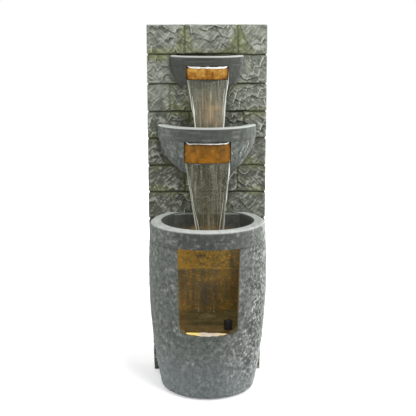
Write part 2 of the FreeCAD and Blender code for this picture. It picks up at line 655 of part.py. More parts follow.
def lamp_box(name, x, y, z):
    """A box given in the lamp's own frame, with -Y towards the basin's wall, turned into place."""
    item = box(name, x, y, z)
    low = lamp_turn.multVec(point(x[0], y[0], 0)) + point(0, BASIN_Y, z[0])
    item.setExpression("Placement.Base.x", None)
    item.setExpression("Placement.Base.y", None)
    item.setExpression("Placement.Base.z", None)
    item.Placement = FreeCAD.Placement(low, lamp_turn)
    return item


def lamp_rod(name, radius, low, high, z):
    """A rod in the lamp's own frame that runs from one distance in front of the axis to another."""
    item = rod(name, radius, (0, 0, 0), f"({high}) - ({low})", "y")
    for axis in "xyz":
        item.setExpression(f"Placement.Base.{axis}", None)
    start = lamp_turn.multVec(point(0, low, 0)) + point(0, BASIN_Y, z)
    item.Placement = FreeCAD.Placement(start, lamp_turn.multiply(TURNS["y"]))
    return item


node(lamp_box("lamp_housing", ("-lamp_width / 2", "lamp_width / 2"),
              (f"-{lamp_back}", f"-{lamp_back} + lamp_depth"), ("lamp_bottom", "lamp_top")), "lamp_housing")
lens_mid = "(lamp_top - lamp_lens_height / 2 - lamp_lens_wall)"
node(lamp_box("lamp_lens", ("-lamp_lens_width / 2", "lamp_lens_width / 2"),
              (f"-{lamp_back} + lamp_depth", f"-{lamp_back} + lamp_depth + lamp_lens_wall"),
              (f"{lens_mid} - lamp_lens_height / 2", f"{lens_mid} + lamp_lens_height / 2")), "lamp_lens")
cup_mouth = f"-{lamp_back} - lamp_stand / 2"
cup_start = f"-{lamp_wall} - sucker_radius"
cup_rod = lamp_rod("lamp_cup_rod", "sucker_radius", cup_start, cup_mouth, "sucker_height")
cup = common("lamp_cup", basin_room("lamp_room", "soft_gap"), cup_rod)
stem = lamp_rod("lamp_cup_stem", "sucker_stem", f"{cup_mouth} - soft_gap", f"-{lamp_back}", "sucker_height")
node(fuse("lamp_sucker", cup, stem), "lamp_sucker")

# Pump: housing with the rotor's well, volute cover with its nozzle, intake grille and flow dial.
half_width = "pump_width / 2"
pump_top = f"({PUMP_BOTTOM} + pump_height)"
pump_block = doc.addObject("Part::Fillet", "pump_block")
pump_block.Base = box("pump_box", (f"-{half_width}", half_width), (PUMP_FACE, f"{PUMP_FACE} + pump_length"),
                      (PUMP_BOTTOM, pump_top))
doc.recompute()
along_pump = [index for index, edge in enumerate(pump_block.Base.Shape.Edges, 1)
              if edge.BoundBox.YLength > number("pump_length") - NEAR]
pump_block.Edges = [(index, number("pump_round"), number("pump_round")) for index in along_pump]
rear_bush_y = f"({PUMP_FACE} + well_depth)"
bush_outer = "(shaft_radius + bush_wall)"
node(cut("pump_body", pump_block,
         rod("rotor_well", "well_radius", (0, PUMP_FACE, ROTOR_Z), "well_depth", "y"),
         rod("rear_bush_pocket", f"{bush_outer} + shaft_fit", (0, rear_bush_y, ROTOR_Z),
             "rear_bush_length", "y")), "pump_body")
cavity_front = f"({COVER_FRONT} + cover_front)"
cover_box = box("cover_box", (f"-{half_width}", half_width), (COVER_FRONT, PUMP_FACE),
                (PUMP_BOTTOM, pump_top))
cover_depth = "cover_length - cover_front"
nozzle = rod("cover_nozzle", BARB_RADIUS, (0, NOZZLE_Y, pump_top), "nozzle_height")
open_cover = cut("open_cover", fuse("cover_blank", cover_box, nozzle),
                 rod("volute", "volute_radius", (0, cavity_front, ROTOR_Z), cover_depth, "y"),
                 rod("intake", "intake_radius", (0, COVER_FRONT, ROTOR_Z), "cover_front", "y"),
                 rod("nozzle_way", "nozzle_bore", (0, NOZZLE_Y, ROTOR_Z), f"{NOZZLE_TOP} - {ROTOR_Z}"))
spider_y = f"({cavity_front} - spider_depth)"
bar_half = "spider_bar / 2"
spider = [rod("spider_hub", "spider_radius", (0, spider_y, ROTOR_Z), "spider_depth", "y"),
          box("spider_flat", ("-intake_radius - shaft_radius", "intake_radius + shaft_radius"),
              (spider_y, cavity_front), (f"{ROTOR_Z} - {bar_half}", f"{ROTOR_Z} + {bar_half}")),
          box("spider_upright", (f"-{bar_half}", bar_half), (spider_y, cavity_front),
              (f"{ROTOR_Z} - intake_radius - shaft_radius", f"{ROTOR_Z} + intake_radius + shaft_radius"))]
front_bush_y = f"({cavity_front} - front_bush_length)"
node(cut("volute_cover", fuse("cover_with_spider", open_cover, *spider),
         rod("front_bush_pocket", f"{bush_outer} + shaft_fit", (0, front_bush_y, ROTOR_Z),
             "front_bush_length", "y")), "volute_cover")
bushes = []
for name, y, length in (("rear_bush", rear_bush_y, "rear_bush_length"),
                        ("front_bush", front_bush_y, "front_bush_length")):
    bushes.append(cut(name, rod(f"{name}_rod", bush_outer, (0, y, ROTOR_Z), length, "y"),
                      rod(f"{name}_bore", "shaft_radius + shaft_fit", (0, y, ROTOR_Z), length, "y")))
node(group("shaft_bushes", bushes), "shaft_bushes")
node(rod("rotor_shaft", "shaft_radius", (0, front_bush_y, ROTOR_Z),
         f"{rear_bush_y} + rear_bush_length - {front_bush_y}", "y"), "rotor_shaft")
magnet_y = f"({PUMP_FACE} + magnet_gap)"
node(cut("rotor_magnet", rod("magnet_rod", "magnet_radius", (0, magnet_y, ROTOR_Z), "magnet_length", "y"),
         rod("magnet_bore", "shaft_radius + shaft_fit", (0, magnet_y, ROTOR_Z), "magnet_length", "y")),
     "rotor_magnet")
disc_front = f"({PUMP_FACE} - disc_set - disc_wall)"
blade_front = f"({disc_front} - blade_height)"
hub_length = f"{magnet_y} - {blade_front}"
wheel = [rod("impeller_disc", "impeller_radius", (0, disc_front, ROTOR_Z), "disc_wall", "y"),
         rod("impeller_hub_rod", "impeller_hub", (0, blade_front, ROTOR_Z), hub_length, "y")]
for index in range(BLADES):
    blade = box(f"blade_{index}", (0, "impeller_radius - blade_wall"), (0, "blade_height + disc_wall / 2"),
                ("-blade_wall / 2", "blade_wall / 2"))
    turn = 360 / BLADES * index
    tilt = math.radians(turn)
    blade.Placement = FreeCAD.Placement(FreeCAD.Vector(), FreeCAD.Rotation(FreeCAD.Vector(0, 1, 0), turn))
    place(blade, f"-blade_wall / 2 * {math.sin(tilt):.6f}", blade_front,
          f"{ROTOR_Z} - blade_wall / 2 * {math.cos(tilt):.6f}")
    wheel.append(blade)
node(cut("impeller", fuse("impeller_blank", *wheel),
         rod("impeller_bore", "shaft_radius + shaft_fit", (0, blade_front, ROTOR_Z), hub_length, "y")),
     "impeller")
grille_box = box("grille_box", (f"-{half_width}", half_width), (GRILLE_FRONT, COVER_FRONT),
                 (PUMP_BOTTOM, pump_top))
grille_room = box("grille_room", (f"-{half_width} + grille_wall", f"{half_width} - grille_wall"),
                  (f"{GRILLE_FRONT} + grille_wall", COVER_FRONT),
                  (f"{PUMP_BOTTOM} + grille_wall", f"{pump_top} - grille_wall"))
slots = []
for side in (-1, 1):
    for step in GRILLE_STEPS:
        x = f"({side} * grille_pitch * {step})"
        slots.append(box(f"grille_slot_{len(slots)}", (f"{x} - grille_slot / 2", f"{x} + grille_slot / 2"),
                         (GRILLE_FRONT, f"{GRILLE_FRONT} + grille_wall"),
                         (f"{ROTOR_Z} - grille_slot_height / 2", f"{ROTOR_Z} + grille_slot_height / 2")))
dial_socket = "(grille_length - grille_wall)"
boss = rod("dial_boss_rod", "dial_boss", (0, GRILLE_FRONT, ROTOR_Z), dial_socket, "y")
grille_shell = cut("grille_shell", grille_box, grille_room, *slots)
node(cut("intake_grille", fuse("grille_with_boss", grille_shell, boss),
         rod("dial_socket", "dial_stem + shaft_fit", (0, GRILLE_FRONT, ROTOR_Z), dial_socket, "y")),
     "intake_grille")
dial_back = f"({GRILLE_FRONT} - soft_gap)"
dial_front = f"({dial_back} - dial_wall)"
grip_half = "dial_grip / 2"
node(fuse("flow_dial",
          rod("dial_disc", "dial_radius", (0, dial_front, ROTOR_Z), "dial_wall", "y"),
          rod("dial_stem_rod", "dial_stem", (0, dial_back, ROTOR_Z), f"{dial_socket} - dial_stem_gap", "y"),
          box("dial_grip_bar", (f"-{grip_half}", grip_half), (f"{dial_front} - dial_grip_height", dial_front),
              (f"{ROTOR_Z} - dial_grip_length / 2", f"{ROTOR_Z} + dial_grip_length / 2"))), "flow_dial")
feet = []
for side in (-1, 1):
    for y in (f"{PUMP_FACE} + pump_foot_inset", f"{PUMP_FACE} + pump_length - pump_foot_inset"):
        start = (f"{side} * (pump_width / 2 - pump_foot_inset)", y, FLOOR)
        feet.append(cone(f"pump_foot_{len(feet)}", "pump_foot_radius", "pump_foot_top", start, "pump_foot"))
node(group("pump_feet", feet), "pump_feet")


# Fittings through the walls: a flanged tube, an elbow in the hollow with a barb, and a ring nut.
def elbow(label, z, wall_front, way, front_barb):
    """A fitting from a tier's back wall to the hollow's middle, whose barb there points up or down."""
    flange_y = f"({wall_front} - fitting_flange_wall)"
    low = f"{z} - fitting_radius" if way > 0 else f"{z} - fitting_reach"
    barb_start = f"{z} + fitting_reach" if way > 0 else f"{z} - fitting_reach - barb_length"
    run = f"{HOLLOW_MID} - {flange_y}"
    parts = [rod(f"{label}_run", "fitting_radius", (0, flange_y, z), run, "y"),
             rod(f"{label}_flange", "fitting_flange", (0, flange_y, z), "fitting_flange_wall", "y"),
             rod(f"{label}_upright", "fitting_body", (0, HOLLOW_MID, low), "fitting_radius + fitting_reach"),
             rod(f"{label}_barb", BARB_RADIUS, (0, HOLLOW_MID, barb_start), "barb_length")]
    front = flange_y
    if front_barb:
        front = f"({flange_y} - barb_length)"
        parts.append(rod(f"{label}_front_barb", BARB_RADIUS, (0, front, z), "barb_length", "y"))
    way_length = "fitting_reach + barb_length + hose_inset"
    way_start = z if way > 0 else f"{z} - ({way_length})"
    bore_start = f"({front} - hose_inset)"
    ways = [rod(f"{label}_bore", "nozzle_bore", (0, bore_start, z), f"{HOLLOW_MID} - {bore_start}", "y"),
            rod(f"{label}_up_bore", "nozzle_bore", (0, HOLLOW_MID, way_start), way_length)]
    node(cut(label, fuse(f"{label}_blank", *parts), *ways), label)


def ring_nut(label, z):
    start = (0, PLATE_BACK, z)
    node(cut(label, hexagon(f"{label}_hex", "fitting_nut", start, "fitting_nut_wall", "y"),
             rod(f"{label}_bore", "fitting_radius + thread_fit", start, "fitting_nut_wall", "y")), label)


elbow("basin_bulkhead", "bulkhead_height", BASIN_BACK_IN, 1, True)
elbow("upper_outlet", OUTLET_Z, f"({SEAT} - bowl_back_wall)", -1, False)
ring_nut("bulkhead_nut", "bulkhead_height")
ring_nut("outlet_nut", OUTLET_Z)
riser_low = "bulkhead_height + fitting_reach"
riser_high = f"{OUTLET_Z} - fitting_reach"
riser_length = f"{riser_high} - ({riser_low})"
node(cut("riser_hose", rod("riser_rod", HOSE_RADIUS, (0, HOLLOW_MID, riser_low), riser_length),
         rod("riser_bore", "hose_bore", (0, HOLLOW_MID, riser_low), riser_length)), "riser_hose")
hose_low = f"{NOZZLE_TOP} - nozzle_height + hose_inset"
hose_end = f"{BASIN_BACK_IN} - fitting_flange_wall - hose_inset"
route("pump_hose", [point(0, NOZZLE_Y, hose_low), point(0, NOZZLE_Y, "bulkhead_height"),
                    point(0, hose_end, "bulkhead_height")],
      number(HOSE_RADIUS), number("hose_bend"), number("hose_bore"))

# Driver and the leads that run to it: each passes its bush and turns in the hollow.
driver_x = ("driver_left", "driver_left + driver_width")
driver_z = ("driver_low", "driver_low + driver_height")
driver_back = f"({PLATE_BACK} + driver_depth)"
node(box("driver_box", driver_x, (PLATE_BACK, driver_back), driver_z), "driver_box")
node(box("driver_lid", driver_x, (driver_back, f"{driver_back} + driver_lid_wall"), driver_z), "driver_lid")
grommets = []
for tier, (x, z, wall) in LEADS.items():
    low = f"({SEAT} - {wall})"
    tube = f"{PLATE_BACK} - {low}"
    start = (x, f"{low} - bush_flange_wall", z)
    bush = fuse(f"{tier}_bush_blank", rod(f"{tier}_bush_tube", "bush_radius", (x, low, z), tube, "y"),
                rod(f"{tier}_bush_flange", "bush_flange", start, "bush_flange_wall", "y"))
    bore = rod(f"{tier}_bush_bore", "lead_radius + lead_fit", start, f"{tube} + bush_flange_wall", "y")
    grommets.append(cut(f"{tier}_bush", bush, bore))
node(group("lead_grommets", grommets), "lead_grommets")
for tier, start_y in lead_starts.items():
    x, z, wall = LEADS[tier]
    spots = [point(x, start_y, z), point(x, HOLLOW_MID, z), point(x, HOLLOW_MID, driver_z[1])]
    route(f"{tier}_light_lead", spots, number("lead_radius"), number("lead_bend"))
x, z, wall = LEADS["pump"]
pump_spots = [point(x, f"{PUMP_FACE} + pump_length", z), point(x, HOLLOW_MID, z),
              point(x, HOLLOW_MID, "driver_low")]
route("pump_lead", pump_spots, number("lead_radius"), number("lead_bend"))
x, z, wall = LEADS["lamp"]
lamp_foot = lamp_turn.multVec(point(0, f"-{lamp_back} + lamp_depth / 2", 0))
lamp_foot += point(0, BASIN_Y, "lamp_bottom")
FLOOR_RUN = (FreeCAD.Vector(53, -84, 70), FreeCAD.Vector(47, -52, 34), FreeCAD.Vector(41, -5, 29.5))
exit_run = [point(x, f"{BASIN_BACK_IN} - lamp_lead_run", z), point(x, HOLLOW_MID, z),
            point(x, HOLLOW_MID, "driver_low")]
route("lamp_lead", [lamp_foot, lamp_foot - point(0, 0, "lamp_lead_drop"), *FLOOR_RUN, *exit_run],
      number("lead_radius"), number("lead_bend"))

# Bolts that hold the tiers to the board: head and washer inside the tier, nut in the hollow.
bolts = []
washers = []
nuts = []
for index, (x, z, wall) in enumerate(BOLTS):
    front = f"({SEAT} - {wall})"
    head = f"({front} - bolt_washer_wall)"
    nut_end = f"({PLATE_BACK} + bolt_nut_height)"
    bore = "bolt_radius + thread_fit"
    shank_length = f"{nut_end} + bolt_spare - {head}"
    shank = rod(f"bolt_shank_{index}", "bolt_radius", (x, head, z), shank_length, "y")
    head_start = (x, f"{head} - bolt_head_height", z)
    bolts.append(fuse(f"bolt_{index}", shank,
                      hexagon(f"bolt_head_{index}", "bolt_head", head_start, "bolt_head_height", "y")))
    washers.append(cut(f"washer_{index}",
                       rod(f"washer_rod_{index}", "bolt_washer", (x, head, z), "bolt_washer_wall", "y"),
                       rod(f"washer_bore_{index}", bore, (x, head, z), "bolt_washer_wall", "y")))
    nut_start = (x, PLATE_BACK, z)
    nuts.append(cut(f"nut_{index}",
                    hexagon(f"nut_hex_{index}", "bolt_nut", nut_start, "bolt_nut_height", "y"),
                    rod(f"nut_bore_{index}", bore, nut_start, "bolt_nut_height", "y")))
node(group("mount_bolts", bolts), "mount_bolts")
node(group("mount_washers", washers), "mount_washers")
node(group("mount_nuts", nuts), "mount_nuts")

# Back panel with its hinge leaves, and the service door that swings out to the back.
panel_inset = "block_side + side_wall + panel_gap"
panel_corners = board_outline(panel_inset, "pad_stand + top_wall + panel_gap",
                              "wall_height - block_side - top_wall - panel_gap")
panel_plate = padded("panel_plate", panel_corners, PANEL_IN, PANEL_OUT)
door_half = "door_width / 2"
opening = box("door_opening", (f"-{door_half} - door_gap", f"{door_half} + door_gap"),
              (PANEL_IN, PANEL_OUT), ("door_low - door_gap", f"{DOOR_TOP} + door_gap"))
hinge_heights = ("(door_low + hinge_inset)", f"({DOOR_TOP} - hinge_inset)")
panel_leaves = []
door_leaves = []
knuckle_bores = []
pins = []
for index, middle in enumerate(hinge_heights):
    pin_length = f"(knuckle_length * {KNUCKLES} + knuckle_gap * {KNUCKLES - 1})"
    pin_low = f"({middle} - {pin_length} / 2)"
    pin_start = (HINGE_X, HINGE_Y, pin_low)
    bore = "hinge_pin_radius + hinge_pin_fit"
    knuckle_bores.append(rod(f"knuckle_bore_{index}", bore, pin_start, pin_length))
    pins.append(rod(f"hinge_pin_{index}", "hinge_pin_radius", pin_start, pin_length))
    for part in range(KNUCKLES):
        on_door = part % 2 == 1
        leaves = door_leaves if on_door else panel_leaves
        ends = (f"{HINGE_X} - leaf_width", HINGE_X) if on_door else (HINGE_X, f"{HINGE_X} + leaf_width")
        low = f"({pin_low} + (knuckle_length + knuckle_gap) * {part})"
        span = (low, f"{low} + knuckle_length")
        name = f"hinge_{index}_{part}"
        leaves.append(rod(f"{name}_knuckle", "knuckle_radius", (HINGE_X, HINGE_Y, low), "knuckle_length"))
        leaves.append(box(f"{name}_leaf", ends, (PANEL_OUT, f"{PANEL_OUT} + leaf_wall"), span))
panel_holes = []
screws = []
for index, (x, z) in enumerate(boss_spots):
    hole = rod(f"panel_hole_{index}", "screw_radius + screw_hole_gap", (x, PANEL_IN, z), "panel_wall", "y")
    panel_holes.append(hole)
    tip = (x, f"{PANEL_OUT} - screw_length", z)
    screws.append(fuse(f"screw_{index}",
                       rod(f"screw_shank_{index}", "screw_radius", tip, "screw_length", "y"),
                       rod(f"screw_head_{index}", "screw_head", (x, PANEL_OUT, z), "screw_head_height", "y")))
gland_hole = rod("gland_hole", "gland_radius + gland_gap", ("gland_x", PANEL_IN, "gland_height"),
                 "panel_wall", "y")
node(cut("rear_panel", fuse("panel_with_leaves", cut("panel_open", panel_plate, opening), *panel_leaves),
         *knuckle_bores, *panel_holes, gland_hole), "rear_panel")
node(group("panel_screws", screws), "panel_screws")
door_plate = box("door_plate", (f"-{door_half}", door_half), (PANEL_IN, PANEL_OUT), ("door_low", DOOR_TOP))
door_mid = "(door_low + door_height / 2)"
strike_start = (f"(-{door_half} + magnet_lap / 2)", PANEL_IN, door_mid)
strike_pocket = rod("strike_pocket", "strike_radius + strike_fit", strike_start, "strike_wall", "y")
door_blank = fuse("door_with_leaves", door_plate, *door_leaves)
node(cut("access_door", door_blank, *knuckle_bores, strike_pocket), "access_door")
node(rod("door_strike", "strike_radius", strike_start, "strike_wall", "y"), "door_strike")
node(group("door_hinge_pins", pins), "door_hinge_pins")
magnet_z = (f"{door_mid} - magnet_block / 2", f"{door_mid} + magnet_block / 2")
magnet_plate = box("magnet_plate", (f"-{door_half} - magnet_block", f"-{door_half} + magnet_lap"),
                   (f"{PANEL_IN} - magnet_block_wall", f"{PANEL_IN} - soft_gap"), magnet_z)
magnet_foot = box("magnet_foot", (f"-{door_half} - magnet_block", f"-{door_half} - door_gap * 2"),
                  (f"{PANEL_IN} - magnet_block_wall", PANEL_IN), magnet_z)
node(fuse("door_magnet", magnet_plate, magnet_foot), "door_magnet")
pull_start = (f"-{door_half} + pull_inset", PANEL_OUT, door_mid)
pull_cap = (f"-{door_half} + pull_inset", f"{PANEL_OUT} + pull_height / 2", door_mid)
node(fuse("door_pull", rod("pull_stem_rod", "pull_stem", pull_start, "pull_height", "y"),
          cone("pull_knob", "pull_neck", "pull_radius", pull_cap, "pull_height / 2", "y")), "door_pull")

# Gland for the mains lead, low in the back panel, with its nut inside.
gland_start = ("gland_x", f"({PANEL_IN} - gland_tail)", "gland_height")
gland_out = ("gland_x", PANEL_OUT, "gland_height")
gland_body = fuse("gland_blank",
                  rod("gland_tube", "gland_radius", gland_start, "gland_tail + panel_wall", "y"),
                  hexagon("gland_hex", "gland_head", gland_out, "gland_head_height", "y"))
gland_length = "gland_tail + panel_wall + gland_head_height"
gland_way = rod("gland_bore_rod", "gland_bore", gland_start, gland_length, "y")
node(cut("cable_gland", gland_body, gland_way), "cable_gland")
gland_nut_start = ("gland_x", f"{PANEL_IN} - gland_nut_wall", "gland_height")
node(cut("gland_nut", hexagon("gland_nut_hex", "gland_nut_radius", gland_nut_start, "gland_nut_wall", "y"),
         rod("gland_nut_bore", "gland_radius + thread_fit", gland_nut_start, "gland_nut_wall", "y")),
     "gland_nut")

# Every object has to be sound before anything is written.
doc.recompute()
faults = [item.Name for item in doc.Objects if {"Invalid", "Error"} & set(item.State)]
faults += [item.Label for item in nodes if item.Shape.isNull() or not item.Shape.isValid()]
if faults:
    raise RuntimeError("not sound: " + ", ".join(faults))
os.makedirs("parts", exist_ok=True)
for item in nodes:
    item.Shape.exportStep(f"parts/{item.Label}.step")
    size = item.Shape.BoundBox
    extent = f"{size.XLength:.1f} x {size.YLength:.1f} x {size.ZLength:.1f} mm"
    print(f"{item.Label}: {len(item.Shape.Solids)} solids, {extent}")
print(len(nodes), "pieces")
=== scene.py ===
# %% [markdown]
# # Three-tier fountain
# The fountain is a tall board of rock-faced blocks that carries two half bowls and a barrel-shaped basin.
# Water comes over lit amber lips and falls from tier to tier.
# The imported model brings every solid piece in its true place, in metres.
# This lesson keeps the moulded and metal pieces as they come and gives them better finishes.
# It lays new surfaces over the stone, the lips and the water, because those need relief and texture
# that a plain solid does not have.

# %% Load the frame
import json
import math

import bmesh
import bpy
import numpy as np
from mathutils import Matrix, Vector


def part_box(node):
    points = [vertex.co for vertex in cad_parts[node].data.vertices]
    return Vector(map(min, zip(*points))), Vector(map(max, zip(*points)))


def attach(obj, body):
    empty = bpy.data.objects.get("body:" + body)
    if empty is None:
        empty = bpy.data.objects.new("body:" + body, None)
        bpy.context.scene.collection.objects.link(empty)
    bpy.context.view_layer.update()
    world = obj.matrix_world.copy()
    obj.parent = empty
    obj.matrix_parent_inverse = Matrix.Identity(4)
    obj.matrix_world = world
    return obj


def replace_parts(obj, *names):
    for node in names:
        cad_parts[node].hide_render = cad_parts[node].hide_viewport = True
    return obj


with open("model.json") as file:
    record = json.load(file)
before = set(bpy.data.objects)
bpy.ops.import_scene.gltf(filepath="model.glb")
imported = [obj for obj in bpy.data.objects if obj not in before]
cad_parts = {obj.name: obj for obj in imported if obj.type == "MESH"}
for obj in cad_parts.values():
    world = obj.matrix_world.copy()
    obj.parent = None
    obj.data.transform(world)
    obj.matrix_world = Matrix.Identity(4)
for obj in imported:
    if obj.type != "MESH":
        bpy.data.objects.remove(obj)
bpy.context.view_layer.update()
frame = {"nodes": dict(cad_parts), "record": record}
nodes = frame["nodes"]

# %% [markdown]
# ## The camera
# The photograph looks at the fountain from the front, from about its own height and a little down.
# A camera could be placed by eye, but a fit to the board's edges, its thirteen courses and the three rims
# gives one clear answer: about 2.6 m away, just over a metre up, and pitched down by some twelve degrees.
# The lens value is the fitted focal length in pixels turned into millimetres on a 36 mm sensor.

# %% Camera
SCENE = bpy.context.scene
FRAME_PIXELS = 416
FOCAL_PIXELS = 928
PITCH_DOWN = 11.7
TURN = -1.1


def put(name, data):
    """A new object in the scene."""
    item = bpy.data.objects.new(name, data)
    bpy.context.collection.objects.link(item)
    return item


camera_data = bpy.data.cameras.new("camera")
camera_data.sensor_width = 36
camera_data.lens = camera_data.sensor_width * FOCAL_PIXELS / FRAME_PIXELS
camera = put("camera", camera_data)
camera.location = (-0.047, -2.49, 1.024)
camera.rotation_euler = (math.radians(90 - PITCH_DOWN), 0, math.radians(TURN))
SCENE.camera = camera
print("lens", round(camera_data.lens, 1), "mm")

# %% [markdown]
# ## Nodes and finishes
# A finish is a tree of nodes. Drawn by hand in the editor it could not be repeated, so short functions place
# a node, feed its inputs by name and hand on what comes out. A class keeps a material's tree, its shader and
# the object's own coordinates together. It also reads marks: values that a mesh carries at its points.

# %% Nodes by name
# Places of the factor and the two colours among a Mix node's sockets, and of the colour that comes out
MIX_INPUTS = (0, 6, 7)
MIX_OUTPUT = 2


def feed(tree, socket, value):
    """Give an input a value: a socket is linked, and a colour of three numbers gets its alpha."""
    if isinstance(value, bpy.types.NodeSocket):
        tree.links.new(value, socket)
    else:
        socket.default_value = (*value, 1) if socket.type == "RGBA" else value


def add_node(tree, kind, **values):
    """A node whose inputs or settings are set by name."""
    node = tree.nodes.new("ShaderNode" + kind)
    for key, value in values.items():
        label = key.replace("_", " ").title()
        if label in node.inputs:
            feed(tree, node.inputs[label], value)
        else:
            setattr(node, key, value)
    return node


def maths(tree, operation, first, second, clamp=False):
    """A Math node on two values, each a socket or a number."""
    node = add_node(tree, "Math", operation=operation, use_clamp=clamp)
    feed(tree, node.inputs[0], first)
    feed(tree, node.inputs[1], second)
    return node.outputs[0]


def blend_colour(tree, amount, first, second):
    """A colour mix; each colour is a socket or a tuple."""
    node = add_node(tree, "Mix", data_type="RGBA")
    for index, value in zip(MIX_INPUTS, (amount, first, second)):
        feed(tree, node.inputs[index], value)
    return node.outputs[MIX_OUTPUT]


def ramp(tree, value, low, high):
    """An eased ramp from 0 at low to 1 at high."""
    node = add_node(tree, "MapRange", interpolation_type="SMOOTHSTEP",
                    value=value, from_min=low, from_max=high)
    return node.outputs["Result"]


# %% A material in the making
class Finish:
    """A material with its tree, its shader and the object's own coordinates."""

    def __init__(self, name, roughness, **values):
        self.material = bpy.data.materials.new(name)
        self.material.use_nodes = True
        self.tree = self.material.node_tree
        self.shader = self.tree.nodes["Principled BSDF"]
        self.place = add_node(self.tree, "TexCoord").outputs["Object"]
        self.set(roughness=roughness, **values)

    def set(self, **values):
        """Give the shader's inputs values or sockets by name."""
        for key, value in values.items():
            feed(self.tree, self.shader.inputs[key.replace("_", " ").title()], value)

    def group(self, group, **values):
        """A shared group as a node, fed with the coordinates and its own values."""
        return add_node(self.tree, "Group", node_tree=group, vector=self.place, **values).outputs

    def maths(self, operation, first, second, clamp=False):
        """A Math node in this tree."""
        return maths(self.tree, operation, first, second, clamp)

    def mix(self, amount, first, second):
        """A colour mix in this tree."""
        return blend_colour(self.tree, amount, first, second)

    def mark(self, label, strength=1.0):
        """A mark's value times a strength."""
        value = add_node(self.tree, "Attribute", attribute_name=label).outputs["Fac"]
        return self.maths("MULTIPLY", value, strength)

    def tint(self, colour, *coats):
        """Lay coats over a colour, each with a mark's name, a strength and the coat's own colour."""
        for label, strength, coat in coats:
            colour = self.mix(self.mark(label, strength), colour, coat)
        return colour

    def bump(self, height, strength, distance):
        """Let a height tilt the shader's normal."""
        node = add_node(self.tree, "Bump", strength=strength, distance=distance, height=height)
        self.set(normal=node.outputs["Normal"])


# %% [markdown]
# ## Floor, light and background
# A product photograph is cut out on white, so the floor is pale and the world is white to the camera.
# Light Path tells a ray from the camera, a mirror or clear water apart from the rays that carry light.
# The first kind sees plain white, and the light on the object stays where a colour comes out as written.
# As in the photograph, the main lamp stands high on the right in front. Soft lamps stand at both sides, the
# left one weaker, and one more lights the back.

# %% World
SCENE.view_settings.view_transform = "Standard"
WORLD_LIGHT = 0.36


def seen_directly(tree):
    """A mask that is 1 for camera, glossy and transmission rays, by adding the three and clamping."""
    rays = add_node(tree, "LightPath").outputs
    mirrored = maths(tree, "ADD", rays["Is Camera Ray"], rays["Is Glossy Ray"], True)
    return maths(tree, "ADD", mirrored, rays["Is Transmission Ray"], True)


world = bpy.data.worlds.new("studio")
SCENE.world = world
world.use_nodes = True
sky = world.node_tree
sky_light = sky.nodes["Background"].outputs[0]
feed(sky, sky.nodes["Background"].inputs["Color"], (1, 1, 1))
feed(sky, sky.nodes["Background"].inputs["Strength"], WORLD_LIGHT)
sky_white = add_node(sky, "Background", color=(1, 1, 1), strength=1.0).outputs[0]
sky_mix = add_node(sky, "MixShader")
for socket, value in zip(sky_mix.inputs, (seen_directly(sky), sky_light, sky_white)):
    feed(sky, socket, value)
feed(sky, sky.nodes["World Output"].inputs["Surface"], sky_mix.outputs[0])
print("strength of the world's light", WORLD_LIGHT)

# %% Floor
FLOOR_REACH = 6.0
SQUARE = ((-1, -1), (1, -1), (1, 1), (-1, 1))
floor_mesh = bpy.data.meshes.new("floor")
floor_mesh.from_pydata([(FLOOR_REACH * x, FLOOR_REACH * y, 0) for x, y in SQUARE], [], [(0, 1, 2, 3)])
floor = put("floor", floor_mesh)
pale_floor = Finish("floor_white", 0.9, base_color=(0.9, 0.9, 0.9))
tree = pale_floor.tree
away = add_node(tree, "VectorMath", operation="LENGTH", vector=pale_floor.place).outputs["Value"]
fade = add_node(tree, "MapRange", value=away, from_min=0.3, from_max=1.3, to_min=0.35).outputs["Result"]
glow = add_node(tree, "Emission", strength=maths(tree, "MULTIPLY", seen_directly(tree), fade))
both = add_node(tree, "AddShader")
feed(tree, both.inputs[0], pale_floor.shader.outputs[0])
feed(tree, both.inputs[1], glow.outputs[0])
feed(tree, tree.nodes["Material Output"].inputs["Surface"], both.outputs[0])
floor_mesh.materials.append(pale_floor.material)
print("floor", 2 * FLOOR_REACH, "m wide")

# %% Lamps: place, power and size
LAMPS = {
    "key": ((0.9, -1.9, 3.1), 54, 0.8),
    "right_side": ((2.2, -0.2, 0.9), 36, 1.4),
    "left_side": ((-2.2, -0.1, 0.9), 22, 1.2),
    "back": ((-0.6, 2.8, 1.6), 20, 1.6),
}
for name, (spot, power, size) in LAMPS.items():
    lamp_data = bpy.data.lights.new(name, "AREA")
    lamp_data.energy = power
    lamp_data.size = size
    lamp = put(name, lamp_data)
    lamp.location = spot
    aim = Vector((0, 0, 0.5)) - lamp.location
    lamp.rotation_euler = aim.to_track_quat("-Z", "Y").to_euler()
print("lamps:", ", ".join(LAMPS))

# %% [markdown]
# ## Surfaces from grids
# Every new piece is a surface over a grid: two parameters run along the rows and the columns, and numpy works
# out all the points at once. The same few helpers turn such a grid into a mesh.
# A grid is easy to close, its rows and columns follow the form, and a value worked out beside the points,
# such as how deep a pit is, can ride along as a mark that the finish reads.

# %% From a grid to a piece
def stack(*coordinates):
    """Points from their coordinates, spread to one grid."""
    return np.stack(np.broadcast_arrays(*coordinates), axis=-1)


def grid_quads(rows, columns, around=False):
    """Corner numbers of a grid's quads, row by row; the last column joins the first where it goes around."""
    number = np.arange(rows * columns).reshape(rows, columns)
    if around:
        number = np.hstack([number, number[:, :1]])
    return stack(number[:-1, :-1], number[:-1, 1:], number[1:, 1:], number[1:, :-1])


def close_seams(mesh):
    """Merge points that lie on each other and drop the faces that this leaves without an area."""
    work = bmesh.new()
    work.from_mesh(mesh)
    bmesh.ops.remove_doubles(work, verts=work.verts, dist=1e-6)
    bmesh.ops.dissolve_degenerate(work, edges=work.edges, dist=1e-7)
    work.to_mesh(mesh)
    work.free()


